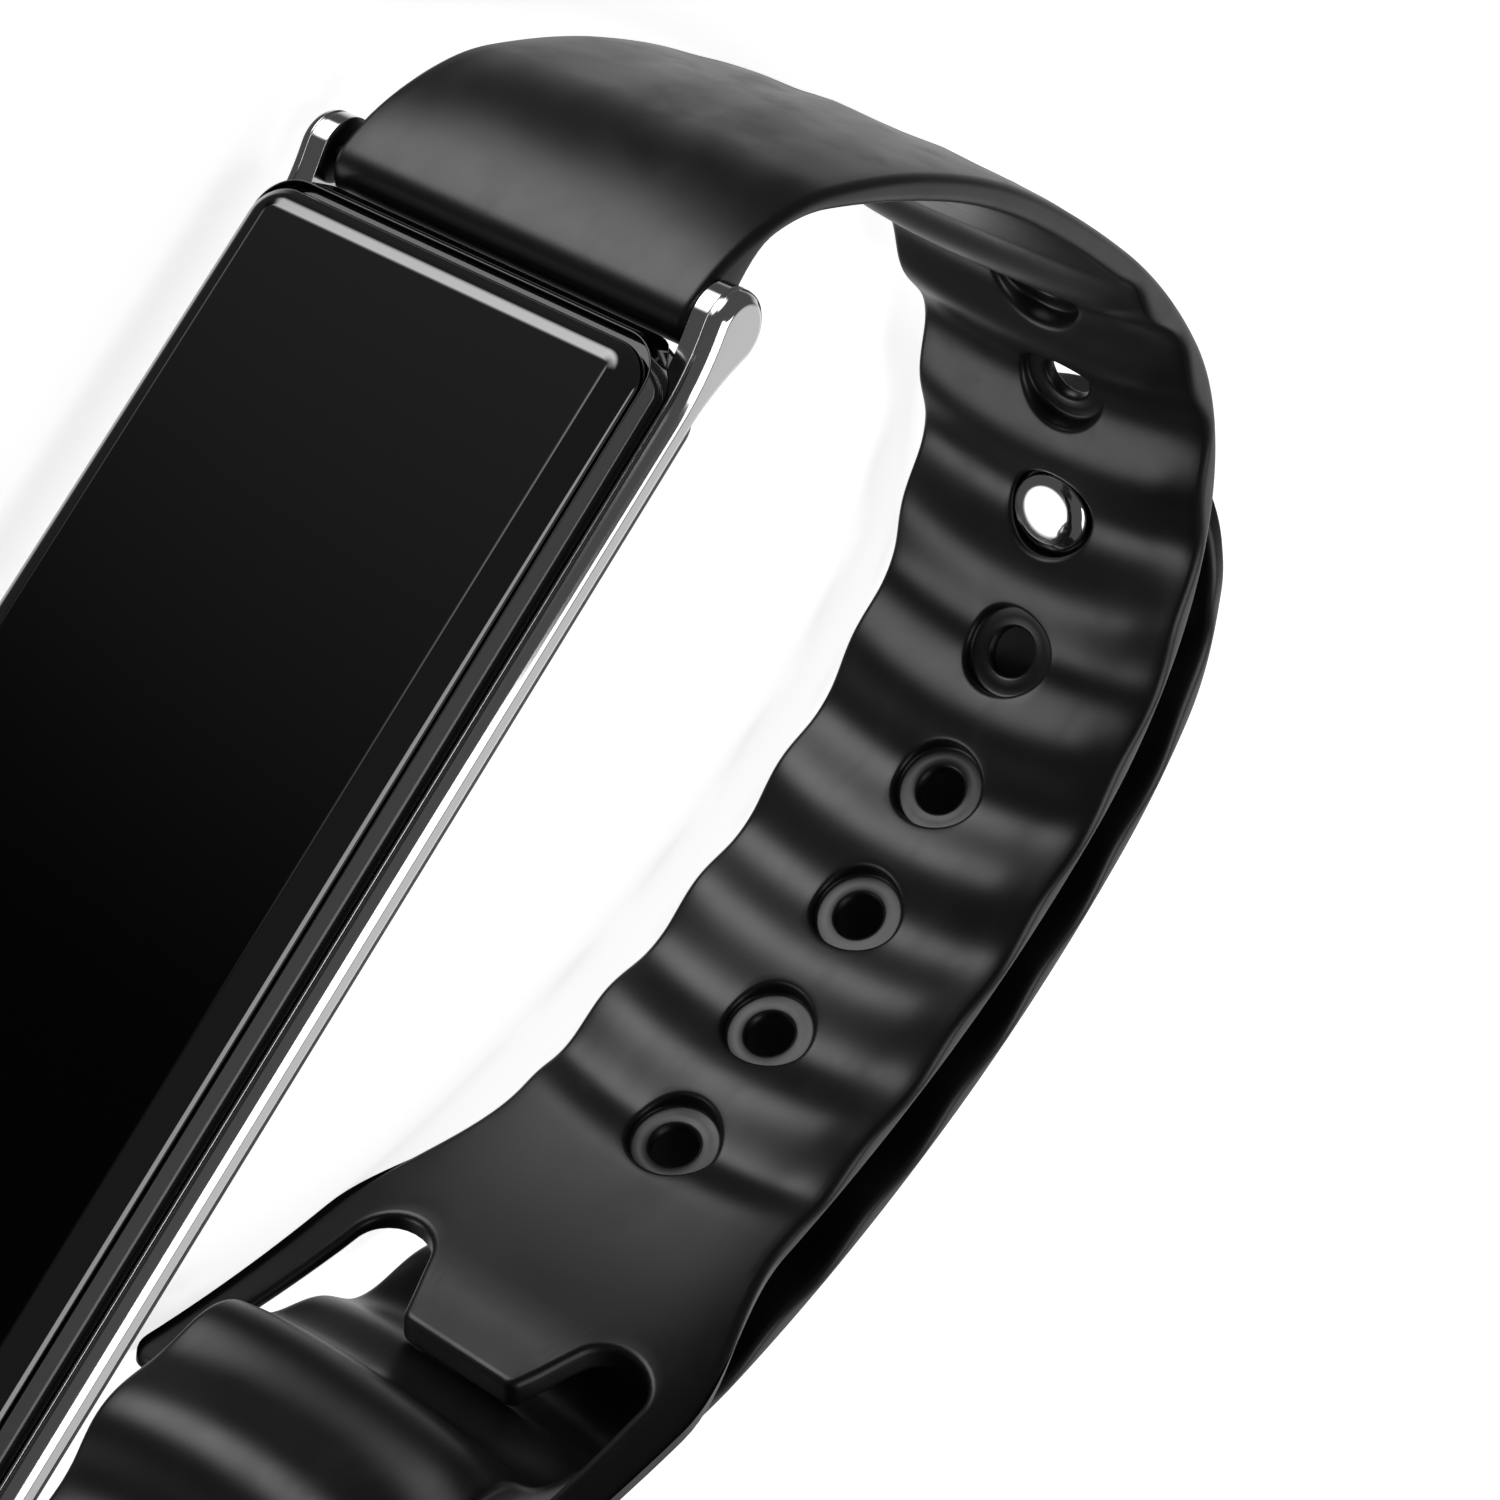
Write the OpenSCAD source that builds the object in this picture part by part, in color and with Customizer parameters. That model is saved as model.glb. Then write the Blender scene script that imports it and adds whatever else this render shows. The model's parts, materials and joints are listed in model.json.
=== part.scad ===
// Fitness tracker band: a slim display module on a two-part moulded strap.
// The band lies on its side: X runs along the module, the display faces -Y,
// and Z is the wrist axis. Z = 0 is the side that the band lies on.

/* [Module] */
// Length of the cover glass
glass_len = 42; // [38:0.5:46]
// Width of the cover glass
glass_wid = 15.6; // [14.8:0.1:16]
// Depth from the glass face to the flat of the back cover
module_depth = 6.5; // [6.3:0.1:7.5]
// Corner radius of the module seen from the front
corner_r = 1.3; // [0.8:0.1:2]
// How far each side rail stands out from the glass edge
rail_proud = 0.8; // [0.6:0.05:1]

/* [Strap] */
// Width of both strap halves
strap_wid = 14.2; // [13.6:0.1:14.4]
// Thickness of both strap halves
strap_thk = 1.5; // [1.3:0.1:1.7]
// Distance between neighbouring adjustment holes
hole_pitch = 6.5; // [6:0.1:6.6]
// Number of adjustment holes
hole_count = 8; // [5:1:8]
// Diameter of each adjustment hole
hole_dia = 2.1; // [1.9:0.1:2.3]
// Diameter of the recess round each hole on the wrist side
recess_dia = 3.9; // [3.6:0.1:4.2]
// Depth of the recess round each hole
recess_depth = 0.75; // [0.5:0.05:0.9]
// Which hole the stud is pressed into, counted from the module
stud_hole = 3; // [3:1:5]

/* [Loop end] */
// Width of the frame that the tail passes through
frame_wid = 18.6; // [18:0.1:19]
// Width of the slot in the frame
slot_wid = 15.4; // [15:0.1:15.6]
// Width of the tongue between the two lobes of the slot
tongue_wid = 6.8; // [6:0.1:7.4]

/* [Spring bars] */
// Diameter of the bar tube
bar_dia = 1.1; // [1:0.05:1.2]
// Diameter of the sprung tips
tip_dia = 0.7; // [0.6:0.05:0.8]
// How far each tip stands into its lug
tip_reach = 0.8; // [0.6:0.05:0.9]

/* [Hidden] */
$fn = 48;
eps = 0.01;
mid_z = frame_wid / 2;                 // the wrist-axis position of the band's middle plane
rail_half = glass_wid / 2 + rail_proud;
ear_wall = 1.2;
ear_r = 1.3;
run_gap = 0.03;                        // radial clearance of a turning fit
seat_gap = 0.05;                       // gap between stacked flat parts

// depths below the glass face, in order from the display to the wrist
glass_thk = 0.9;
gasket_thk = 0.2;
panel_thk = 0.8;
floor_top = 1.9;
floor_thk = 0.4;
frame_low = 4.2;
lug_depth = 2.8;                       // spring bar centre below the glass face
rail_top = 2.2;
rail_low = 3.4;
board_top = 2.6;
board_thk = 0.5;
back_wall = 0.7;

// side-plane positions before the whole band is centred: the module is centred on X = 0
face_y = -42.9;
bar_x = 23.2;
bar_y = face_y + lug_depth;
barrel_r = 1.05;

// upper strap: wrist-side line as arcs of [length, turn], from the lug to the loop end
upper_start = [-22.6, -40.07, 179];
upper_arcs = [[7, -54], [7, -7], [7, -11], [8, -5], [9, -13], [12, -42], [12, -46], [12, -17], [31.4, -33]];
first_hole_s = 37.5;
last_hole_s = first_hole_s + (hole_count - 1) * hole_pitch;
stud_s = first_hole_s + (stud_hole - 1) * hole_pitch;
arch_s = 22;                           // where the strap root part ends
flare_s = last_hole_s + 3.5;           // where the plain strap width ends
lobe_s = 92.6;                         // nearest edge of the slot lobes
tongue_s = 96.6;                       // end of the tongue
slot_end_s = 103.2;
loop_end_s = 105.4;
cross_s = 99.6;                        // where the tail passes through the slot

// tail: gap of its wrist-side face from the upper strap's wrist-side line, along that line
cross_slope = 0.84;
tail_rise_s = 88;
tail_gap = 4.5;
near_gap = 4;
stud_gap = 2.4;
stud_near_s = 57;
tip_s = stud_s - 4.3;
peel_s = 72;                           // where the tail bends when it is lifted

// lower strap: from the lower lug to the slot, as two smooth curves
lower_start = [22.6, -40.07];
bulge = [31.6, -20.5];
step = 1.5;                            // spacing of the points along a curve

function walk(p, len, turn) =
    abs(turn) < eps
    ? [p.x + len * cos(p.z), p.y + len * sin(p.z), p.z]
    : let (r = len / (turn * PI / 180))
      [p.x + r * (sin(p.z + turn) - sin(p.z)), p.y - r * (cos(p.z + turn) - cos(p.z)), p.z + turn];
function along(s, arcs, p, i = 0) =
    (i == len(arcs) - 1 || s <= arcs[i][0])
    ? walk(p, s, arcs[i][1] * s / arcs[i][0])
    : along(s - arcs[i][0], arcs, walk(p, arcs[i][0], arcs[i][1]), i + 1);
function upper(s) = along(s, upper_arcs, upper_start);
function upper_off(s, off) = let (p = upper(s)) [p.x - off * sin(p.z), p.y + off * cos(p.z)];
function stations(a, b) =
    let (n = max(2, ceil(abs(b - a) / step)))
    [for (i = [0:n]) a + (b - a) * i / n];
function upper_band(a, b) = concat(
    [for (s = stations(a, b)) upper_off(s, 0)],
    [for (s = stations(b, a)) upper_off(s, strap_thk)]);

function ease(u) = u * u * (3 - 2 * u);
function rise(u) = u * (1 - u) * (1 - u);
function tail_off(s) =
    s >= tail_rise_s
    ? let (u = (cross_s - s) / (cross_s - tail_rise_s))
      tail_gap * ease(u) + cross_slope * (cross_s - tail_rise_s) * rise(u)
    : s >= stud_near_s ? tail_gap + (near_gap - tail_gap) * ease((tail_rise_s - s) / (tail_rise_s - stud_near_s))
    : s >= stud_s ? stud_gap + (near_gap - stud_gap) * ease((s - stud_s) / (stud_near_s - stud_s))
    : stud_gap;
function hermite(p, q, hp, hq, reach, u) =
    let (a = u * u * (3 - 2 * u), b = u * (1 - u) * (1 - u), c = u * u * (u - 1))
    p * (1 - a) + q * a + reach * (b * [cos(hp), sin(hp)] + c * [cos(hq), sin(hq)]);
cross_point = upper_off(cross_s, 0);
cross_heading = upper(cross_s).z + 180 - atan(cross_slope);
lower_reach_a = 30;
lower_reach_b = 42;
lower_points = 14;
// t from 0 to 1 is lug to bulge, 1 to 2 is bulge to slot
function lower_at(t) =
    t <= 1
    ? hermite(lower_start, bulge, 4, 90, lower_reach_a, t)
    : hermite(bulge, cross_point, 90, cross_heading, lower_reach_b, t - 1);
function heading(p, q) = atan2(q.y - p.y, q.x - p.x);
function lower_off(t, off) =
    let (d = 0.01, a = lower_at(max(0, t - d)), b = lower_at(min(2, t + d)), h = heading(a, b), p = lower_at(t))
    [p.x + off * sin(h), p.y - off * cos(h)];
function lower_band(a, b) =
    let (n = ceil(lower_points * (b - a)))
    concat([for (i = [0:n]) lower_off(a + (b - a) * i / n, 0)],
           [for (i = [n:-1:0]) lower_off(a + (b - a) * i / n, strap_thk)]);
function tail_band(a, b) = concat(
    [for (s = stations(a, b)) upper_off(s, tail_off(s))],
    [for (s = stations(b, a)) upper_off(s, tail_off(s) + strap_thk)]);

// the band's box in the side plane centres the whole part over the origin
outline = concat(upper_band(0, loop_end_s), tail_band(cross_s, tip_s), lower_band(0, 2));
low_x = min([for (p = outline) p.x]);
high_x = max([for (p = outline) p.x]);
high_y = max([for (p = outline) p.y]);
centre = [(low_x + high_x) / 2, (face_y + high_y) / 2];

// ---- placing -------------------------------------------------------------
module centred() translate([-centre.x, -centre.y, 0]) children();
// an outline of the side plane, extruded over a width about the middle plane
module across(wid) centred() translate([0, 0, mid_z - wid / 2]) linear_extrude(wid) children();
// children are drawn front up: X along the module, Y across, Z = minus the depth below the glass
module in_module() centred() translate([0, face_y, mid_z]) rotate([90, 0, 0]) children();
module rounded_plate(len, wid, r) {
    square([len - 2 * r, wid], center = true);
    square([len, wid - 2 * r], center = true);
    for (x = [-1, 1], y = [-1, 1])
        translate([x * (len / 2 - r), y * (wid / 2 - r)]) circle(r);
}
// a plate between two depths
module slab(top, low, len, wid, r) translate([0, 0, -low]) linear_extrude(low - top) rounded_plate(len, wid, r);
module ring(top, low, len, wid, r, wall) difference() {
    slab(top, low, len, wid, r);
    slab(top - 1, low + 1, len - 2 * wall, wid - 2 * wall, max(0.2, r - wall));
}
module block(x, y, top, len, wid, thk) translate([x - len / 2, y - wid / 2, -top - thk]) cube([len, wid, thk]);
module disc(x, y, top, dia, thk) translate([x, y, -top - thk]) cylinder(h = thk, d = dia);

// ---- module --------------------------------------------------------------
screw_x = 18.4;
screw_y = 4.7;
screw_dia = 0.84;
screw_top = 2.4;
post_dia = 1.3;
post_len = 0.85;
boss_top = 3.2;
rail_screw_x = 12;
rail_mid = (rail_top + rail_low) / 2;
sensor_board_top = 5.15;
sensor_board_thk = 0.3;
panel_len = 37;
panel_wid = 12.6;
battery_x = -7;
battery_len = 19;
battery_wid = 11.6;
battery_thk = 2.3;
flex_thk = 0.12;
board_x = 12;
board_len = 16;
board_wid = 12;
motor_x = 14.6;
motor_dia = 5;
motor_top = 3.35;
motor_thk = 1.7;
window_dia = 8;
contact_x = -13.5;

module cover_glass() color([0.02, 0.02, 0.03]) in_module() {
    slab(0.45, glass_thk, glass_len, glass_wid, corner_r);
    slab(0.15, 0.45, glass_len - 0.5, glass_wid - 0.5, corner_r - 0.25);
    slab(0, 0.15, glass_len - 1.2, glass_wid - 1.2, corner_r - 0.6);
}
module glass_gasket() color([0.08, 0.08, 0.08]) in_module()
    ring(glass_thk, glass_thk + gasket_thk, glass_len - 0.4, glass_wid - 0.4, corner_r - 0.2, 0.9);
module display_panel() color([0.05, 0.05, 0.08]) in_module()
    slab(glass_thk, glass_thk + panel_thk, panel_len, panel_wid, 0.4);
module display_flex() color([0.75, 0.45, 0.1]) in_module() {
    block(17.9, 0, glass_thk + panel_thk, 1.2, 5, flex_thk);
    block(18.6, 0, glass_thk + panel_thk, 0.22, 5, board_top - glass_thk - panel_thk);
    block(17.6, 0, board_top - flex_thk, 2, 5, flex_thk);
}
module mid_frame() color([0.03, 0.03, 0.03]) in_module() difference() {
    union() {
        difference() {
            slab(glass_thk + gasket_thk, frame_low, glass_len + 0.8, glass_wid + 0.2, corner_r);
            // bay for the battery and the board, below the floor
            slab(floor_top + floor_thk, frame_low + 1, glass_len - 1.4, glass_wid - 1.8, 0.6);
        }
        for (x = [-1, 1], y = [-1, 1])
            disc(x * screw_x, y * screw_y, floor_top + floor_thk - eps, post_dia, post_len);
    }
    // pocket for the display, above the floor
    slab(0, floor_top, panel_len + 0.6, panel_wid + 0.4, 0.5);
    // window that the display flex passes through
    block(18, 0, floor_top - 0.5, 2.2, 6, 2);
    for (x = [-1, 1], y = [-1, 1]) {
        disc(x * screw_x, y * screw_y, screw_top, screw_dia, 3);
        translate([x * rail_screw_x, y * (glass_wid / 2 + 0.5), -rail_mid])
            rotate([90, 0, 0]) cylinder(h = 3, d = 0.62, center = true);
    }
}
// one side rail with a lug at each end; it stands on the side y
module side_rail(y) in_module() difference() {
    union() {
        translate([0, y * (glass_wid / 2 + 0.1 + (rail_proud - 0.1) / 2), -rail_mid])
            cube([2 * bar_x, rail_proud - 0.1, rail_low - rail_top], center = true);
        for (x = [-1, 1]) {
            translate([x * bar_x, y * (rail_half - ear_wall / 2), -lug_depth])
                rotate([90, 0, 0]) cylinder(h = ear_wall, r = ear_r, center = true);
            translate([x * (bar_x - 0.9), y * (rail_half - ear_wall / 2), -lug_depth])
                cube([1.8, ear_wall, 2 * ear_r - 0.5], center = true);
        }
    }
    for (x = [-1, 1])
        translate([x * bar_x, y * (rail_half - ear_wall), -lug_depth])
            rotate([-90 * y, 0, 0]) translate([0, 0, -1]) cylinder(h = 1 + tip_reach + 0.1, d = tip_dia + 2 * run_gap);
    for (x = [-1, 1])
        translate([x * rail_screw_x, y * (glass_wid / 2 + 0.1), -rail_mid])
            rotate([90, 0, 0]) cylinder(h = 0.6, d = 0.5, center = true);
}
module side_rail_right() color([0.85, 0.85, 0.87]) side_rail(1);
module side_rail_left() color([0.85, 0.85, 0.87]) side_rail(-1);
module rail_screws() color([0.6, 0.6, 0.62]) in_module()
    for (x = [-1, 1], y = [-1, 1])
        translate([x * rail_screw_x, y * (glass_wid / 2 + 0.4), -rail_mid]) rotate([90 * y, 0, 0]) {
            cylinder(h = 1.4, d = 0.5);
            translate([0, 0, 1.3]) cylinder(h = 0.4, d = 0.9);
        }
module main_board() color([0.05, 0.3, 0.15]) in_module()
    difference() {
        block(board_x, 0, board_top, board_len, board_wid, board_thk);
        for (y = [-1, 1]) disc(screw_x, y * screw_y, board_top - 1, post_dia + 0.2, 3);
    }
module board_chips() color([0.1, 0.1, 0.1]) in_module() {
    for (y = [-4.6, 4.6]) block(9.4, y, board_top + board_thk, 2.2, 1.8, 0.7);
    block(18.2, 0, board_top + board_thk, 1.4, 3.6, 0.6);
    for (i = [0:3]) block(5.2 + i * 1.3, -3, board_top + board_thk, 0.6, 0.4, 0.3);
    for (i = [0:3]) block(5.2 + i * 1.3, 3, board_top + board_thk, 0.6, 0.4, 0.3);
}
module shield_can() color([0.7, 0.7, 0.72]) in_module() difference() {
    block(7, 0, board_top + board_thk, 5, 5, 0.9);
    block(7, 0, board_top + board_thk - eps, 4.7, 4.7, 0.75);
}
module antenna() color([0.8, 0.6, 0.3]) in_module() {
    block(-18.2, 0, floor_top + floor_thk + seat_gap, 2.2, 7.6, 0.3);
    block(-18.9, 0, floor_top + floor_thk + 0.35, 0.8, 0.7, 1.2);
}
module battery() color([0.75, 0.76, 0.78]) in_module()
    slab_at(battery_x, floor_top + floor_thk + 0.35, battery_len, battery_wid, battery_thk, 0.7);
module slab_at(x, top, len, wid, thk, r)
    translate([x, 0, -top - thk]) linear_extrude(thk) rounded_plate(len, wid, r);
module battery_foam() color([0.2, 0.2, 0.22]) in_module()
    slab_at(battery_x, floor_top + floor_thk + seat_gap, battery_len - 2, battery_wid - 2, 0.3, 0.5);
module motor_can() color([0.78, 0.78, 0.8]) in_module() difference() {
    disc(motor_x, 0, motor_top, motor_dia, motor_thk);
    disc(motor_x, 0, motor_top + 0.2, motor_dia - 0.5, motor_thk - 0.4);
}
module motor_weight() color([0.45, 0.45, 0.48]) in_module() difference() {
    disc(motor_x, 0, motor_top + 0.3, motor_dia - 0.9, motor_thk - 0.6);
    translate([motor_x - motor_dia, 0, -motor_top - motor_thk]) cube([2 * motor_dia, motor_dia, motor_thk]);
}
module back_cover() color([0.04, 0.04, 0.04]) in_module() difference() {
    union() {
        difference() {
            union() {
                slab(frame_low + 0.15, 5.1, glass_len + 0.6, glass_wid, corner_r);
                slab(5.1, 5.8, glass_len - 0.6, glass_wid - 1.4, corner_r);
                slab(5.8, module_depth, glass_len - 3, glass_wid - 4, corner_r);
            }
            slab(frame_low - 1, 5.0, glass_len - 1.8, glass_wid - 1.8, 0.6);
            slab(frame_low - 1, module_depth - back_wall, glass_len - 2.4, glass_wid - 4.8, 0.6);
        }
        for (x = [-1, 1], y = [-1, 1])
            disc(x * screw_x, y * screw_y, boss_top, 1.8, 5.9 - boss_top);
    }
    disc(0, 0, 4, window_dia - 1, 4);
    disc(0, 0, module_depth - 0.35, window_dia + 0.1, 1);
    for (x = [-1.5, 1.5]) disc(contact_x + x, 0, 4, 1.24, 4);
    for (x = [-1, 1], y = [-1, 1]) {
        disc(x * screw_x, y * screw_y, 2, 0.9, 6);
        disc(x * screw_x, y * screw_y, 5.2, 1.7, 3);
    }
}
module back_seal() color([0.15, 0.15, 0.16]) in_module()
    ring(frame_low, frame_low + 0.15, glass_len + 0.2, glass_wid - 0.4, corner_r - 0.2, 0.6);
module sensor_window() color([0.1, 0.02, 0.04]) in_module() {
    disc(0, 0, module_depth - 0.3, window_dia, 0.5);
    disc(0, 0, module_depth + 0.2, window_dia - 1.4, 0.3);
}
module sensor_board() color([0.05, 0.3, 0.15]) in_module()
    disc(0, 0, sensor_board_top, window_dia - 1.4, sensor_board_thk);
module sensor_leds() color([0.2, 0.8, 0.3]) in_module()
    for (x = [-1, 1]) block(x * 2.2, 0, sensor_board_top + sensor_board_thk, 1, 1.2, 0.5);
module photodiode() color([0.15, 0.15, 0.2]) in_module()
    block(0, 0, sensor_board_top + sensor_board_thk, 1.6, 1.8, 0.45);
module charging_contacts() color([0.9, 0.75, 0.35]) in_module()
    for (x = [-1.5, 1.5]) {
        disc(contact_x + x, 0, 5.3, 1.2, module_depth + 0.02 - 5.3);
        disc(contact_x + x, 0, 5.1, 1.8, 0.2);
    }
module case_screws() color([0.5, 0.5, 0.52]) in_module()
    for (x = [-1, 1], y = [-1, 1]) {
        disc(x * screw_x, y * screw_y, 5.25, 1.5, 0.4);
        disc(x * screw_x, y * screw_y, screw_top, screw_dia, 5.26 - screw_top);
    }

// ---- spring bars ---------------------------------------------------------
tube_len = 13.2;
tip_in = 4.6;
module at_bar(x) centred() translate([x, bar_y, mid_z]) children();
module bar_tube(x) at_bar(x) difference() {
    cylinder(h = tube_len, d = bar_dia, center = true);
    cylinder(h = tube_len + 1, d = tip_dia + 2 * run_gap, center = true);
}
module bar_spring(x) at_bar(x) difference() {
    cylinder(h = 2 * tip_in, d = tip_dia - 0.06, center = true);
    cylinder(h = 2 * tip_in + 1, d = 0.4, center = true);
}
// a tip stands out of its end of the tube into the lug
module bar_tip(x, y) at_bar(x) mirror([0, 0, y < 0 ? 1 : 0])
    translate([0, 0, tip_in]) cylinder(h = rail_half - ear_wall + tip_reach - tip_in, d = tip_dia);
module upper_bar_tube() color([0.7, 0.7, 0.72]) bar_tube(-bar_x);
module upper_bar_spring() color([0.6, 0.6, 0.65]) bar_spring(-bar_x);
module upper_bar_tip_right() color([0.8, 0.8, 0.8]) bar_tip(-bar_x, 1);
module upper_bar_tip_left() color([0.8, 0.8, 0.8]) bar_tip(-bar_x, -1);
module lower_bar_tube() color([0.7, 0.7, 0.72]) bar_tube(bar_x);
module lower_bar_spring() color([0.6, 0.6, 0.65]) bar_spring(bar_x);
module lower_bar_tip_right() color([0.8, 0.8, 0.8]) bar_tip(bar_x, 1);
module lower_bar_tip_left() color([0.8, 0.8, 0.8]) bar_tip(bar_x, -1);

// ---- strap ---------------------------------------------------------------
bar_bore = bar_dia + 2 * run_gap;
// children are drawn at a point of the upper strap, Z pointing out of the wrist side
module at_upper(s, off) {
    p = upper(s);
    q = upper_off(s, off);
    centred() translate([q.x, q.y, mid_z]) rotate([0, 0, p.z]) rotate([90, 0, 0]) children();
}
module strap_root() color([0.07, 0.07, 0.07]) difference() {
    union() {
        across(strap_wid) polygon(upper_band(0, arch_s));
        across(strap_wid) translate([-bar_x, bar_y]) circle(barrel_r);
    }
    at_bar(-bar_x) cylinder(h = strap_wid + 1, d = bar_bore, center = true);
}
module strap_arch() color([0.07, 0.07, 0.07])
    across(strap_wid) polygon(upper_band(arch_s, first_hole_s - 3.5));
module strap_holes() color([0.07, 0.07, 0.07]) difference() {
    across(strap_wid) polygon(upper_band(first_hole_s - 3.5, flare_s));
    for (i = [0:hole_count - 1]) at_upper(first_hole_s + i * hole_pitch, 0) {
        cylinder(h = 4 * strap_thk, d = hole_dia, center = true);
        cylinder(h = 2 * recess_depth, d = recess_dia, center = true);
    }
}
// outline of the loop end, seen square on: X along the strap from the flare, Y across
module loop_outline() {
    len = loop_end_s - flare_s;
    half = strap_wid / 2;
    wide = frame_wid / 2;
    flare = [for (i = [0:8]) let (u = i / 8) [u * 8, half + (wide - half) * ease(u)]];
    square_end = [[len + 2, wide], [len + 2, -wide]];
    polygon(concat([[-2, half]], flare, square_end, [for (i = [8:-1:0]) [flare[i].x, -flare[i].y]], [[-2, -half]]));
}
module slot_outline() {
    from = lobe_s - flare_s;
    tongue = tongue_s - flare_s;
    to = slot_end_s - flare_s;
    lobe_r = (slot_wid - tongue_wid) / 4;
    difference() {
        translate([from + lobe_r, -slot_wid / 2]) square([to - from - lobe_r, slot_wid]);
        translate([from, -tongue_wid / 2]) square([tongue - from, tongue_wid]);
    }
    for (y = [-1, 1]) translate([from + lobe_r, y * (slot_wid / 2 - lobe_r)]) circle(lobe_r);
}
// the loop end is nearly flat, so its outline is cut square to its middle
module loop_cut(deep) {
    p = upper(flare_s);
    q = upper(loop_end_s);
    lean = heading([p.x, p.y], [q.x, q.y]);
    centred() translate([p.x, p.y, mid_z]) rotate([0, 0, lean]) rotate([90, 0, 0])
        translate([0, 0, -deep / 2]) linear_extrude(deep) children();
}
module strap_loop() color([0.07, 0.07, 0.07]) difference() {
    intersection() {
        across(frame_wid) polygon(upper_band(flare_s, loop_end_s));
        loop_cut(16) loop_outline();
    }
    loop_cut(18) slot_outline();
}
throat_t = 1.35;
module lower_strap_root() color([0.07, 0.07, 0.07]) difference() {
    union() {
        across(strap_wid) polygon(lower_band(0, throat_t));
        across(strap_wid) translate([bar_x, bar_y]) circle(barrel_r);
    }
    at_bar(bar_x) cylinder(h = strap_wid + 1, d = bar_bore, center = true);
}
module lower_strap_throat() color([0.07, 0.07, 0.07])
    across(strap_wid) polygon(lower_band(throat_t, 2));
module tail_base() color([0.07, 0.07, 0.07]) across(strap_wid) polygon(tail_band(cross_s, peel_s));
// the tail ends in a half round as wide as the strap
module tail_end() color([0.07, 0.07, 0.07]) difference() {
    across(strap_wid) polygon(tail_band(peel_s, tip_s));
    at_upper(stud_s, stud_gap) cylinder(h = 0.6, d = stud_plate_dia, center = true);
    at_upper(stud_s, stud_gap) cylinder(h = 0.9, d = stud_neck_dia, center = true);
    at_upper(tip_s + strap_wid / 2, stud_gap) difference() {
        translate([-strap_wid, 0, 0]) cube([2 * strap_wid, 2 * strap_wid, 8], center = true);
        cylinder(h = 10, d = strap_wid, center = true);
        translate([strap_wid, 0, 0]) cube([2 * strap_wid, 3 * strap_wid, 10], center = true);
    }
}
stud_neck_dia = 1.5;
stud_head_dia = 3.3;
stud_plate_dia = 4;
// mushroom head in the recess, neck through the hole, rivet plate in the tail
module stud_post() color([0.8, 0.8, 0.82]) at_upper(stud_s, 0) {
    translate([0, 0, -recess_depth + 0.05]) cylinder(h = recess_depth + 0.1, d = stud_head_dia);
    translate([0, 0, -stud_gap - 0.3]) cylinder(h = stud_gap, d = stud_neck_dia);
}
module stud_plate() color([0.7, 0.7, 0.72]) at_upper(stud_s, stud_gap) difference() {
    cylinder(h = 0.56, d = stud_plate_dia - 0.04, center = true);
    cylinder(h = 2, d = stud_neck_dia, center = true);
}

cover_glass();
glass_gasket();
display_panel();
display_flex();
mid_frame();
side_rail_right();
side_rail_left();
rail_screws();
main_board();
board_chips();
shield_can();
antenna();
battery();
battery_foam();
motor_can();
motor_weight();
back_cover();
back_seal();
sensor_window();
sensor_board();
sensor_leds();
photodiode();
charging_contacts();
case_screws();
upper_bar_tube();
upper_bar_spring();
upper_bar_tip_right();
upper_bar_tip_left();
lower_bar_tube();
lower_bar_spring();
lower_bar_tip_right();
lower_bar_tip_left();
strap_root();
strap_arch();
strap_holes();
strap_loop();
lower_strap_root();
lower_strap_throat();
tail_base();
tail_end();
stud_post();
stud_plate();
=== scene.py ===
"""Looks of a slim fitness tracker band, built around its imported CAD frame.

The strap halves are drawn flat first, as (along, across, offset), and then bent along a line in the
side plane. The module's shells are outlines carried down a profile. All sizes are in millimetres
until a mesh is made.
"""
import json
import logging
import math
from dataclasses import dataclass, field
from enum import Enum
from typing import Sequence

import bmesh
import bpy
import numpy as np
from mathutils import Matrix, Vector


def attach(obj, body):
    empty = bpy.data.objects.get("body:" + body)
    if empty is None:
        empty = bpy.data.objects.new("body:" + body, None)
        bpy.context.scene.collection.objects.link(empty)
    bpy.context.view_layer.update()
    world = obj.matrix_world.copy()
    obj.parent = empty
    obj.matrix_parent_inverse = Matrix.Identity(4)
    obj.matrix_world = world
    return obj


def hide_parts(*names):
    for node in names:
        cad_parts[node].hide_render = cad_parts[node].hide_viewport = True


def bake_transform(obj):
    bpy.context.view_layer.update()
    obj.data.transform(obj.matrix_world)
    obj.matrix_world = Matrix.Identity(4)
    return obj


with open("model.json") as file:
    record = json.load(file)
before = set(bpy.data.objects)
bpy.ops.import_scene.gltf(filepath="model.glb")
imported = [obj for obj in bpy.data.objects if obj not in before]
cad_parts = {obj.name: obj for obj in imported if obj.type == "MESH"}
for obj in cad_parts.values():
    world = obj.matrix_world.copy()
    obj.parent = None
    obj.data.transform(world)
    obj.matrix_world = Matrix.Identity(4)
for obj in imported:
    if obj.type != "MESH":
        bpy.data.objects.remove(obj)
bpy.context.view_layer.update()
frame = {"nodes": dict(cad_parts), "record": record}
log = logging.getLogger("tracker_band")

MM = 0.001
PEEL_FROM_SLOT = 28.0
FACE_Y = -42.9
CENTRE = np.array([-3.06403, -14.7614])
MID_Z = 9.3
Array = np.ndarray


# ---------------------------------------------------------------- shapes in numbers
def ease(u: Array) -> Array:
    """Smooth step from 0 to 1, flat at both ends: 3u^2 - 2u^3 on the clipped value."""
    u = np.clip(u, 0.0, 1.0)
    return u * u * (3.0 - 2.0 * u)


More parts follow.
